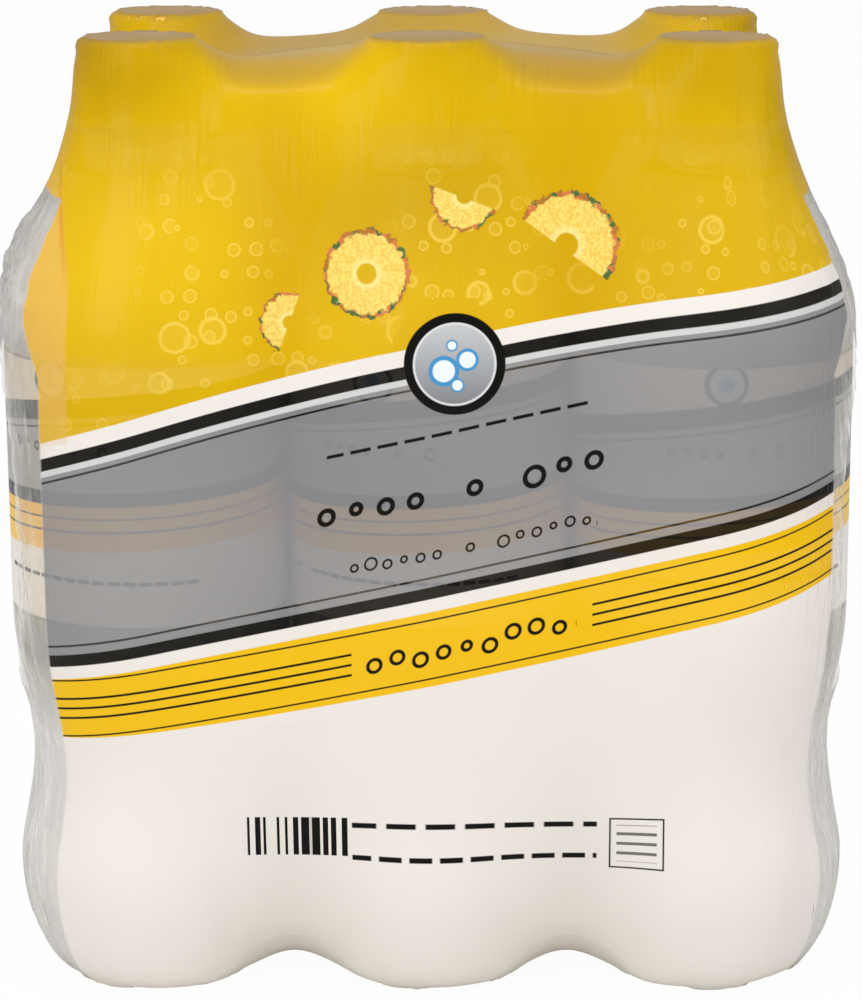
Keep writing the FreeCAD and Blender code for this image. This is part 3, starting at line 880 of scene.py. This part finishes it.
# %% A row of marks
marks, fields, finish = group(
    "row_of_marks",
    {"Along": 0, "Up": 0, "Length": 50, "Pitch": 5, "Height": 5, "Stroke": 1, "Seed": 0, "Vary": 0},
    {"Mask": "NodeSocketFloat"},
)
go, up, length, pitch, tall, stroke, seed, vary = fields
number = (go / pitch).math("FLOOR")
chance = new_node(marks, "ShaderNodeTexWhiteNoise", noise_dimensions="1D")
feed(marks, (number + seed, chance.inputs["W"]))
first, second, third = split_vector(marks, chance.outputs["Color"])
scale = (first * vary).math("MULTIPLY_ADD", -0.55, 1.0)
raised = (second - 0.5) * vary * tall * 0.7
half_width, half_height = pitch * scale * 0.42, tall * scale * 0.5
corner = half_width.math("MINIMUM", half_height)
across = (go - (number + 0.5) * pitch).math("ABSOLUTE") - half_width + corner
upright = (up - raised).math("ABSOLUTE") - half_height + corner
outside = [side.math("MAXIMUM", 0.0).math("POWER", 2.0) for side in (across, upright)]
outside = (outside[0] + outside[1]).math("SQRT")
edge = outside + across.math("MAXIMUM", upright).math("MINIMUM", 0.0) - corner
line = (edge + stroke * 0.5).math("ABSOLUTE").below(stroke * 0.5, 0.2)
inside_row = go.above(0.0, 0.1) * go.below(length, 0.1)
feed(marks, (line * third.above(0.06, 0.01) * inside_row, finish.inputs["Mask"]))

# %% Rising bubbles
bubbles, fields, finish = group(
    "bubble_rings",
    {"Along": 0, "Up": 0, "Size": 7.0, "Share": 0.5, "Shift": 0},
    {"Mask": "NodeSocketFloat"},
)
go, up, size, share, shift = fields
distance, first, second = chance_cells(
    bubbles, join_vector(bubbles, (go + shift) / size, (up + shift) / size), randomness=0.8
)
radius = first.math("MULTIPLY_ADD", 0.22, 0.1)
ring = (distance - radius).math("ABSOLUTE").below(0.035, 0.04)
shine = distance.below(radius, 0.03) * 0.18
there = second.below(share, 0.02)
feed(bubbles, (((ring + shine) * there).math("MINIMUM", 1.0), finish.inputs["Mask"]))

# %% A slice of fruit
slices, fields, finish = group(
    "fruit_slice",
    {
        "Along": 0, "Up": 0, "Radius": 10, "Hole": 2.6, "Cut": -100,
        "Uneven": 0.5, "Grain": 0.5, "First": 0, "Second": 0,
    },
    {"Mask": "NodeSocketFloat", "Colour": "NodeSocketColor"},
)
go, up, radius, hole, cut, uneven, grain, first, second = fields
far_out = (go * go + up * up).math("SQRT")
segments = (up.math("ARCTAN2", go) * 11.0 + grain * 8.0).math("SINE")
fibre = grain + segments * 0.07
edge = far_out + (uneven - 0.5) * 2.4
body = edge.below(radius, 0.25) * far_out.above(hole, 0.3) * up.above(cut, 0.25)
skin_colour = paint_all(
    slices,
    srgb(176, 112, 46),
    (first.above(0.6, 0.1), srgb(74, 104, 58)),
    (second.above(0.62, 0.1), srgb(206, 120, 70)),
)
flesh = paint_all(
    slices,
    srgb(244, 214, 110),
    (fibre.above(0.52, 0.2) * 0.7, srgb(230, 184, 70)),
    (far_out.below(hole * 1.5, 1.2) * 0.5, srgb(250, 232, 160)),
    (edge.above(radius * 0.9, 0.5), skin_colour),
)
feed(slices, (body, finish.inputs["Mask"]), (flesh, finish.inputs["Colour"]))

# %% Long wrinkles
wrinkles, fields, finish = group(
    "shrink_wrinkles", {"Along": 0, "Up": 0, "Crinkle": 0}, {"Height": "NodeSocketFloat"}
)
go, up, crinkle_share = fields
fine = noise(wrinkles, join_vector(wrinkles, go * 0.6, up * 0.06), Detail=2.0)
broad = noise(wrinkles, join_vector(wrinkles, go * 0.09, up * 0.035), Detail=1.0)
crumple = (fine * 3.0 + broad * 4.0).math("PINGPONG", 0.5)
high_zone = up.near(206.0, 16.0, 16.0) + up.near(170.0, 12.0, 22.0) * 0.5
ledge = up.near(201.5, 0.5, 1.6) * 0.22
total = fine * (high_zone * 0.55 * broad.above(0.5, 0.3) + 0.06) + broad * 0.9 + ledge
total = total + crumple * crinkle_share * 2.0 + fine * crinkle_share * 1.6
feed(wrinkles, (total, finish.inputs["Height"]))
print("node groups:", [effect.name for effect in bpy.data.node_groups])

# %% [markdown]
# The ink is printed in broad slanted stripes: yellow above, a silver band edged in black, a
# yellow ribbon, and white below. The stripes' edges rise along the front in shallow curves,
# each given by its height in the middle, its slope and its bend. Lines of words, the badge
# and the little bar code are plain marks. One
# material could hold it all, but every ray would then work out every mark. So the film has
# four: for its yellow, silver and white fields, which share the stripes, and for its clear ends.

# %% What every field of the print reads
YELLOW = srgb(217, 173, 2)
INK_BLACK = srgb(16, 15, 12)
INK_WHITE = srgb(234, 228, 221)
SILVER = srgb(145, 145, 147)
WHITE_EDGE, BLACK_EDGE, PALE_EDGE = 3.6, -2.9, -4.3
BAND_SLOPE = 0.2137
# Each edge: its height in the middle, its slope and its bend.
SILVER_TOP, SILVER_BOTTOM = (152.2, BAND_SLOPE, -0.00063), (100.9, 0.2175, 0.00013)
RIBBON_BOTTOM = (77.6, 0.2064, 0.0004)
BADGE_PLACE = (6.4, 151.6)


def edge_height(go, edge):
    """The height of a stripe's edge along the print, for a field or a row of numbers."""
    height, slope, bend = edge
    return (go * bend + slope) * go + height


def attribute(tree, name):
    """The vector socket of a mesh attribute."""
    return new_node(tree, "ShaderNodeAttribute", attribute_name=name).outputs["Vector"]


class Artwork:
    """One field's material, with the places and edges that its print is drawn from."""

    def __init__(self, name):
        self.material, self.shader = plain(name, YELLOW, 0.32)
        tree = self.tree = self.material.node_tree
        self.go, self.up, _ = split_vector(tree, attribute(tree, "print"))
        self.on_cap, self.edge_share, self.gap_share = split_vector(tree, attribute(tree, "touch"))
        self.above_silver = self.up - edge_height(self.go, SILVER_TOP)
        self.above_low = self.up - edge_height(self.go, SILVER_BOTTOM)
        self.drift = noise(tree, join_vector(tree, self.go * 0.012, self.up * 0.02), Detail=1.0)
        self.written = None

    def write(self, mask):
        """Adds a mask to what is drawn in black."""
        self.written = mask if self.written is None else self.written + mask


def stripes(art, yellow):
    """The slanted stripes, from the yellow field down to the white one."""
    tree, silver, low = art.tree, art.above_silver, art.above_low
    shade = paint(tree, SILVER, art.drift.above(0.5, 0.6), srgb(136, 136, 139))
    return paint_all(
        tree,
        INK_WHITE,
        (silver.above(WHITE_EDGE), yellow),
        (silver.below(0.0), INK_BLACK),
        (silver.below(BLACK_EDGE), srgb(206, 206, 205)),
        (silver.below(PALE_EDGE), shade),
        (silver.near(-5.6, 0.25), INK_BLACK),
        (low.near(2.1, 0.25), INK_BLACK),
        (low.below(0.0), INK_BLACK),
        (low.below(-2.8), INK_WHITE),
    )


print("the film's stripes are ready")

# %% The yellow field: bubbles and slices of fruit
SLICES = (
    # middle, turn in degrees, radius, hole, where it is cut
    ((-13.0, 171.0), 25, 9.5, 2.2, -100.0),
    ((31.0, 177.0), -35, 11.5, 2.6, -1.0),
    ((8.5, 187.5), 160, 7.5, 1.8, 0.5),
    ((-30.0, 160.5), 70, 6.5, 1.5, 0.0),
)


def yellow_field(art):
    """The yellow, darker towards the caps and with painted shade between the bottles, with pale
    rings and slices.
    """
    tree, go, up = art.tree, art.go, art.up
    sky = up.math("MULTIPLY_ADD", 0.012, -1.9, clamp=True)
    # Painted shade darkens the yellow in the gaps between the bottles.
    yellow = paint_all(
        tree,
        YELLOW,
        (sky, srgb(160, 124, 0)),
        (art.drift.above(0.5, 0.5), srgb(224, 182, 2)),
        (art.gap_share * 0.3, srgb(196, 144, 2)),
    )
    zone = up.near(164.0, 26.0, 20.0) * (go * 0.11 + 0.6).math("SINE").above(0.05, 1.0)
    low_zone = art.above_silver.below(14.0, 16.0) * 0.75
    large, small = [
        drawn(tree, bubbles, Along=go, Up=up, Size=size, Share=part, Shift=shift)
        for size, part, shift in ((10.0, 0.5, 3.1), (4.8, 0.46, 11.7))
    ]
    rings = (large + small).math("MINIMUM", 1.0) * zone.math("MAXIMUM", low_zone)
    yellow = paint(tree, yellow, rings * 0.5, srgb(248, 216, 96))
    uneven = noise(tree, join_vector(tree, go * 0.55, up * 0.55), Detail=2.0, Roughness=0.6)
    grain = noise(tree, join_vector(tree, go * 1.3, up * 1.3), Detail=1.0)
    _, first, second = chance_cells(tree, join_vector(tree, go * 0.62, up * 0.62))
    for centre, turn, size, hole, cut in SLICES:
        cosine, sine = math.cos(math.radians(turn)), math.sin(math.radians(turn))
        right, over = go - centre[0], up - centre[1]
        piece = use(
            tree, slices, Along=right * cosine + over * sine, Up=over * cosine - right * sine,
            Radius=size, Hole=hole, Cut=cut, Uneven=uneven, Grain=grain, First=first, Second=second,
        )
        yellow = paint(tree, yellow, Field(tree, piece["Mask"]), piece["Colour"])
    return yellow


def write_row(art, start, length, height, pitch, tall, stroke, seed):
    """Draws one slanted row of uneven marks."""
    row_up = art.up - height - art.go * BAND_SLOPE
    art.write(drawn(
        art.tree, marks, Along=art.go - start, Up=row_up, Length=length, Pitch=pitch,
        Height=tall, Stroke=stroke, Seed=seed, Vary=0.8,
    ))


def dashes(art, start, length, height, slope, pitch, tall):
    """Draws one line of plain dashes."""
    line = (art.up - art.go * slope).near(height, tall / 2)
    gaps = ((art.go - start) * (2 * math.pi / pitch)).math("SINE").above(-0.72, 0.2)
    art.write(line * gaps * art.go.above(start) * art.go.below(start + length))


# %% The badge, the rows of marks and the bar code
BADGE_BUBBLES = (((-2.4, -1.4), 3.4), ((2.8, 1.0), 2.5), ((0.6, -4.6), 1.6), ((-0.6, 4.2), 1.3))


def badge(art, colour):
    """A round badge with four bubbles, where the print's two halves meet."""
    tree = art.tree
    go, up = art.go - BADGE_PLACE[0], art.up - BADGE_PLACE[1]
    far = (go * go + up * up).math("SQRT")
    sheen = up.math("MULTIPLY_ADD", -0.05, 0.5, clamp=True)
    colour = paint_all(
        tree,
        colour,
        (far.below(11.2), INK_BLACK),
        (far.below(9.2), srgb(214, 215, 215)),
        (far.below(8.7), paint(tree, srgb(196, 198, 200), sheen, srgb(122, 124, 128))),
    )
    for place, size in BADGE_BUBBLES:
        right, over = go - place[0], up - place[1]
        drop = (right * right + over * over).math("SQRT")
        blue, pale = srgb(70, 146, 196), srgb(232, 240, 244)
        colour = paint_all(tree, colour, (drop.below(size), blue), (drop.below(size * 0.72), pale))
    return colour, far.below(11.2)


def ribbon(art, colour):
    """The yellow ribbon with its thin lines, broken in the middle for a row of marks."""
    tree = art.tree
    low = edge_height(art.go, RIBBON_BOTTOM)
    above_ribbon = art.above_low + 5.8
    inside = above_ribbon.below(0.0) * art.up.above(low)
    colour = paint(tree, colour, inside, srgb(240, 190, 14))
    half = (art.up - low - above_ribbon * -1.0) * 0.5
    from_middle = half.math("ABSOLUTE")
    lines = from_middle.near(6.9, 0.2)
    three = from_middle.near(2.4, 0.28) + from_middle.below(0.28)
    beside = art.go.below(-17.0) + art.go.above(37.0)
    art.write(inside * (lines + three * beside).math("MINIMUM", 1.0))
    return colour


def bar_code(art):
    """Plain bars of chance widths, and a small ruled box."""
    go, up = art.go, art.up
    stripe = new_node(art.tree, "ShaderNodeTexWhiteNoise", noise_dimensions="1D")
    feed(art.tree, ((go / 0.62).math("FLOOR"), stripe.inputs["W"]))
    bars = Field(art.tree, stripe.outputs["Value"]).above(0.45, 0.05)
    art.write(bars * go.near(-30.0, 11.5) * up.near(41.0, 4.8))
    far = (go - 47.6).math("ABSOLUTE").math("MAXIMUM", (up - 39.3).math("ABSOLUTE"))
    ruled = far.below(4.6) * (up * 2.6).math("SINE").above(0.55, 0.3) * 0.8
    art.write(far.near(6.1, 0.2) + ruled)


print("slices:", len(SLICES), "bubbles in the badge:", len(BADGE_BUBBLES))

# %% [markdown]
# Film is clear plastic, and the ink on it isn't quite solid: the yellow and white hide what is
# behind, but the silver lets the labels show through as a ghost. So the same material holds
# ink and clear film, and its alpha says how much ink there is. Past the ends of the print only
# clear, crinkled film is left, which shows by its gloss and a slight milkiness in its folds.
# Light that comes through the film on its way to a bottle meets a far simpler mix.

# %% Where the print ends
PRINT_LEFT, PRINT_RIGHT = -88.0, 95.0
SHOULDER_LOW, SHOULDER_HIGH = (153.0, 12.0), (189.0, 7.0)


def print_limits(up):
    """How far the print reaches to the left and right, at a height or for a field of heights."""
    edges = (SHOULDER_LOW, SHOULDER_HIGH)
    if isinstance(up, Field):
        shoulder, over = [up.above(*edge) for edge in edges]
    else:
        shoulder, over = [np.clip((up - edge) / soft + 0.5, 0, 1) for edge, soft in edges]
    left = shoulder * -5.5 + over * -130.0 + PRINT_LEFT
    return left, shoulder * 7.0 + over * 130.0 + PRINT_RIGHT


def lay_print(art, colour, solid_ink):
    """Lays the print on milky film; returns the colour, how solid it is and where print is."""
    tree, go, up = art.tree, art.go, art.up
    milky = paint(tree, srgb(226, 224, 220), art.edge_share, srgb(240, 236, 230))
    low_side = up.below(72.0, 20.0) * 0.55 + up.near(170.0, 16.0, 8.0) * 0.3
    milk = art.edge_share * 0.36 + low_side + 0.15
    if colour is None:
        streaks = join_vector(tree, go * 0.34 + up * 0.05, up * 0.07)
        crumple = noise(tree, streaks, Detail=3.0, Roughness=0.65)
        cloudy = (crumple.above(0.55, 0.3) - 0.35) * (art.edge_share * 0.45 + 0.15)
        return milky, milk + cloudy, None
    if art.written is not None:
        written = art.written.math("MINIMUM", 1.0)
        colour = paint(tree, colour, written, INK_BLACK)
        solid_ink = written.math("MAXIMUM", solid_ink)
    left_limit, right_limit = print_limits(up)
    printed = go.above(left_limit, 0.8) * go.below(right_limit, 0.8)
    colour = paint(tree, milky, printed, colour)
    return colour, printed * solid_ink + printed.flip() * milk, printed


# %% Ink, clear film and gloss
GLOSS_ON_FILM, GLOSS_ON_PRINT = 0.85, 0.09
ROUGH_FILM, ROUGH_PRINT = 0.12, 0.32
LIGHT_THROUGH = 0.62


def finish_film(art, colour, solid_ink):
    """Lays the print on clear film, and gives it wrinkles and gloss."""
    tree, shader = art.tree, art.shader
    colour, ink, printed = lay_print(art, colour, solid_ink)
    folds_here = drawn(tree, wrinkles, Along=art.go, Up=art.up, Crinkle=art.edge_share)
    normal = bumped(tree, folds_here, 0.85, 0.6 * MM)
    shader.inputs["Specular IOR Level"].default_value = 0.06
    gloss = new_node(tree, "ShaderNodeBsdfGlossy", Roughness=ROUGH_FILM)
    fresnel = new_node(tree, "ShaderNodeFresnel", IOR=1.35)
    strength, roughness = GLOSS_ON_FILM, ROUGH_FILM
    if printed is not None:
        strength = blend_values(GLOSS_ON_FILM, GLOSS_ON_PRINT, printed)
        roughness = blend_values(ROUGH_FILM, ROUGH_PRINT, printed)
    gloss_share = Field(tree, fresnel.outputs["Fac"]) * strength
    thin = new_node(tree, "ShaderNodeBsdfTransparent", Color=(1.0, 0.97, 0.9, 1))
    glow = new_node(tree, "ShaderNodeBsdfDiffuse", Color=(0.86, 0.8, 0.66, 1))
    path = tree.nodes.new("ShaderNodeLightPath")
    feed(
        tree,
        *[(normal, node.inputs["Normal"]) for node in (shader, gloss, fresnel)],
        (colour, shader.inputs["Base Color"]),
        (roughness, shader.inputs["Roughness"]),
        (ink.math("MINIMUM", 1.0), shader.inputs["Alpha"]),
    )
    seen = mix_shaders(tree, gloss_share, shader.outputs["BSDF"], gloss.outputs["BSDF"])
    simple = mix_shaders(tree, LIGHT_THROUGH, glow.outputs["BSDF"], thin.outputs["BSDF"])
    show(tree, mix_shaders(tree, path.outputs["Is Camera Ray"], simple, seen))
    art.material.surface_render_method = "BLENDED"
    print(art.material.name, "has", len(tree.nodes), "nodes")
    return art.material


print("the film's ink and gloss are ready")

# %% The film's four fields
INK, SILVER_INK = 0.965, 0.86
BAND_ROWS = (
    # start, length, height, pitch, height of a mark, stroke, seed
    (-25.5, 67.0, 122.3, 6.6, 5.6, 1.1, 5.0),
    (-18.0, 56.0, 108.6, 3.7, 3.2, 0.5, 3.0),
    (-14.5, 48.0, 85.6, 5.2, 4.4, 0.8, 21.0),
)


def paint_shoulder_and_top_light(art, colour):
    """A painted reflection as a pale veil and painted shade along a fold at the left shoulder, and
    a dull painted reflection on the caps and level tops.
    """
    lifted = (art.up - 160.0).math("MAXIMUM", 0.0)
    past_fold = lifted * lifted * -0.02 - 80.0 - art.go
    veil_reflection = past_fold.above(0.0, 1.2) * art.up.above(134.0, 14.0) * art.up.below(186.0, 10.0)
    fold_shade_line = past_fold.near(1.0, 0.8, 1.4) * art.up.above(172.0, 14.0)
    # The veil is a painted reflection and the fold line is painted shade. The dull beige over the
    # caps and level tops is a painted reflection, with the caps partly showing through the film.
    return paint_all(
        art.tree,
        colour,
        (veil_reflection * 0.6, srgb(230, 182, 98)),
        (fold_shade_line * 0.7, srgb(216, 142, 24)),
        (art.on_cap * 0.9, srgb(156, 124, 66)),
    )


upper = Artwork("film_yellow_field")
thin_ink = upper.up.below(152.0, 3.0) * upper.above_silver.above(WHITE_EDGE)
ghosted = blend_values(INK, 0.9, thin_ink)
colour = paint_shoulder_and_top_light(upper, stripes(upper, yellow_field(upper)))
film_yellow = finish_film(upper, colour, ghosted)

band = Artwork("film_silver_field")
colour = ribbon(band, stripes(band, YELLOW))
for row in BAND_ROWS:
    write_row(band, *row)
dashes(band, -22.0, 58.0, 135.3, BAND_SLOPE, 6.0, 0.8)
colour, on_badge = badge(band, colour)
band.written = band.written * on_badge.flip()
in_silver = band.above_silver.below(PALE_EDGE) * band.above_low.above(0.0)
solid = blend_values(INK, SILVER_INK, in_silver)
film_silver = finish_film(band, colour, on_badge.math("MAXIMUM", solid))

lower = Artwork("film_white_field")
# Painted shade: the white is darker in the gaps between the bottles, most towards the floor.
soft = lower.gap_share * lower.up.below(60.0, 60.0) * 0.25
colour = paint(lower.tree, INK_WHITE, soft, srgb(216, 207, 200))
bar_code(lower)
for height, pitch in ((44.0, 9.0), (36.0, 7.0)):
    dashes(lower, -17.5, 56.0, height, 0.0, pitch, 1.3)
film_white = finish_film(lower, colour, INK)
film_clear = finish_film(Artwork("film_clear_ends"), None, None)

# %% [markdown]
# Each face of the film takes the material of its field. The borders between fields are laid
# where the print is plain or is the same in both, so that no seam shows.

# %% Giving each face its field
for material in (film_yellow, film_silver, film_white, film_clear):
    film.data.materials.append(material)
corners = np.zeros(len(film.data.polygons) * 4, np.int32)
film.data.polygons.foreach_get("vertices", corners)
corners = corners.reshape(-1, 4)
face_go = (design[corners].mean(axis=1)) / MM
face_up = shape[corners, 2].mean(axis=1) / MM
near_badge = np.hypot(face_go - BADGE_PLACE[0], face_up - BADGE_PLACE[1]) < 14.5
below_yellow = face_up - edge_height(face_go, SILVER_TOP) < 2.0
in_white = face_up < edge_height(face_go, RIBBON_BOTTOM) - 2.5
field = np.where(in_white, 2, np.where(below_yellow | near_badge, 1, 0))
left_limit, right_limit = print_limits(face_up)
field[(face_go < left_limit - 2.0) | (face_go > right_limit + 2.0)] = 3
film.data.polygons.foreach_set("material_index", field.astype(np.int32))
film.data.update()
print("faces in each field:", np.bincount(field))

# %% [markdown]
# The bottles are blown from clear plastic, so thin and even that only their edges show. The
# frame's solids have a true wall, so a glass material bends light in it as in the real one. A
# faint waviness keeps the reflections from being too perfect.

# %% Clear bottle plastic


def let_light_through(material, shader, tint):
    """Lets rays that look for a lamp pass straight through a clear material."""
    tree = material.node_tree
    path = tree.nodes.new("ShaderNodeLightPath")
    straight = new_node(tree, "ShaderNodeBsdfTransparent", Color=(*tint, 1))
    shadow, diffuse, depth = [
        Field(tree, path.outputs[name])
        for name in ("Is Shadow Ray", "Is Diffuse Ray", "Transmission Depth")
    ]
    light = shadow.math("MAXIMUM", diffuse).math("MAXIMUM", depth.above(3.5, 0.1))
    show(tree, mix_shaders(tree, light, shader.outputs["BSDF"], straight.outputs["BSDF"]))


clear, clear_shader = plain("clear_bottle", (0.975, 0.985, 0.985), 0.03)
clear_shader.inputs["Transmission Weight"].default_value = 1.0
clear_shader.inputs["IOR"].default_value = 1.4
tree = clear.node_tree
waves = object_noise(tree, 90.0, 2.0)
tree.links.new(bumped(tree, waves, 0.15, 0.3 * MM), clear_shader.inputs["Normal"])


def finish_node(name, material):
    """Gives one of the frame's solids a material in all its slots."""
    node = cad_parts[name]
    if not node.data.materials:
        node.data.materials.append(material)
    for slot in node.material_slots:
        slot.material = material


let_light_through(clear, clear_shader, (0.97, 0.97, 0.97))
for place in PLACES:
    finish_node(f"bottle_{place}", clear)
print("bottles finished:", len(PLACES))

# %% [markdown]
# The drink fills each bottle up to the start of its neck. Where liquid meets a clear wall, the
# two share one surface. If the drink only touches the wall, a film of air seems to lie
# between them and shines like silver. So each drink is replaced by a copy that reaches a
# little way into the wall.

# %% The drinks
drink_material, drink_shader = plain("pale_drink", (0.97, 0.92, 0.76), 0.0)
drink_shader.inputs["Transmission Weight"].default_value = 0.55
drink_shader.inputs["IOR"].default_value = 1.33
tree = drink_material.node_tree
_, _, place_z = split_vector(tree, object_place(tree))
tint = paint_all(
    tree,
    (0.94, 0.87, 0.75),
    (object_noise(tree, 30.0, 2.0).above(0.5, 0.6), (0.92, 0.84, 0.71)),
    (place_z.below(0.055, 0.05) * 0.8, (0.94, 0.92, 0.88)),
)
tree.links.new(tint, drink_shader.inputs["Base Color"])
let_light_through(drink_material, drink_shader, (0.99, 0.95, 0.84))
INTO_WALL = 0.2 * MM
for place in PLACES:
    drink = joined_copy([f"drink_{place}"], f"filled_{place}")
    weld(drink, 0.005 * MM)
    apply_modifier(drink, "DISPLACE", strength=INTO_WALL, mid_level=0.0)
    bpy.ops.object.shade_smooth_by_angle(angle=math.radians(40))
    drink.data.materials.clear()
    drink.data.materials.append(drink_material)
    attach(drink, "root")
    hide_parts(f"drink_{place}")

# %% [markdown]
# Each bottle has its own wrap-round label, with the same stripes as the film at a smaller
# scale. A label's pattern runs round its bottle, so the material turns each point's place
# into an angle about that bottle's axis. The bottles stand as chance turned them.

# %% The labels
LABEL_TURNS = {
    "front_left": -35.0,
    "front_middle": -21.5,
    "front_right": 2.4,
    "back_left": 160.0,
    "back_middle": 200.0,
    "back_right": 140.0,
}
LABEL_ROWS = (
    # half the length, height, height of a mark, stroke, seed, how uneven
    (14.0, 132.0, 3.4, 0.7, 5.0, 1.0),
    (34.0, 101.5, 0.9, 1.0, 8.0, 0.0),
)


def label_grain(tree, go, up):
    """The value of a noise texture on a label's own places."""
    vector = join_vector(tree, go, up, 0.0)
    node = texture(tree, "ShaderNodeTexNoise", vector, Scale=1.0, Detail=2.0)
    return Field(tree, node.outputs[0])


def label_finish(place):
    """The label material for one bottle."""
    material, shader = plain(f"label_{place}", (0.8, 0.8, 0.8), 0.35)
    tree = material.node_tree
    x, y, up = split_vector(tree, object_place(tree))
    x, y, up = x * 1000.0, y * 1000.0, up * 1000.0
    axis = AXES[place]
    turn = math.radians(LABEL_TURNS[place])
    right, out = x - axis.x / MM, (y - axis.y / MM) * -1.0
    facing = out * math.cos(turn) + right * math.sin(turn)
    aside = right * math.cos(turn) - out * math.sin(turn)
    go = aside.math("ARCTAN2", facing) * (BODY_RADIUS / MM)
    grain = label_grain(tree, go * 0.02, up * 0.03)
    top, low = (go * -0.0008 + 0.13) * go + 142.5, go * 0.05 + 121.5
    silver = paint(tree, srgb(150, 149, 147), grain.above(0.5, 0.5), srgb(166, 164, 160))
    title, small = [
        drawn(
            tree, marks, Along=go + start, Up=up - level, Length=start * 2, Pitch=3.6,
            Height=tall, Stroke=stroke, Seed=seed, Vary=vary,
        )
        for start, level, tall, stroke, seed, vary in LABEL_ROWS
    ]
    badge = (go * go + (up - 147.0) * (up - 147.0)).math("SQRT")
    colour = paint_all(
        tree,
        srgb(214, 204, 186),
        (up.below(top), INK_BLACK),
        (up.below(top - 4.4), silver),
        (up.near(top - 6.0, 0.25), INK_BLACK),
        (up.below(low), INK_BLACK),
        (up.below(low - 3.2), srgb(240, 190, 24)),
        ((up - low + 9.0).near(0.0, 0.25), INK_BLACK),
        ((up - low + 6.0).near(0.0, 0.2), INK_BLACK),
        (up.below(low - 13.5), srgb(232, 226, 216)),
        ((title + small).math("MINIMUM", 1.0), INK_BLACK),
        (badge.below(4.9), INK_BLACK),
        (badge.below(3.9), srgb(198, 199, 200)),
        (badge.below(1.8), srgb(96, 156, 196)),
    )
    creases = label_grain(tree, go * 0.3, up * 0.04)
    feed(
        tree,
        (colour, shader.inputs["Base Color"]),
        (bumped(tree, creases, 0.3, 0.2 * MM), shader.inputs["Normal"]),
    )
    return material


for place in PLACES:
    finish_node(f"label_{place}", label_finish(place))
print("labels finished:", len(PLACES))

# %% [markdown]
# The caps are moulded in one plain yellow plastic. Moulded plastic is never one even colour:
# it is paler where it is thin or rubbed, and its shine is broken by a fine grain.

# %% The caps
cap_material, cap_shader = plain("yellow_cap", srgb(222, 172, 30), 0.38)
tree = cap_material.node_tree
rubbed, grain = object_noise(tree, 120.0, 3.0), object_noise(tree, 2600.0, 1.0)
tone = paint(tree, srgb(218, 168, 26), rubbed.above(0.56, 0.3), srgb(230, 184, 52))
feed(
    tree,
    (tone, cap_shader.inputs["Base Color"]),
    (rubbed.math("MULTIPLY_ADD", 0.25, 0.28), cap_shader.inputs["Roughness"]),
    (bumped(tree, grain, 0.25, 0.05 * MM), cap_shader.inputs["Normal"]),
)
for place in PLACES:
    finish_node(f"cap_{place}", cap_material)
print("caps finished:", len(PLACES))
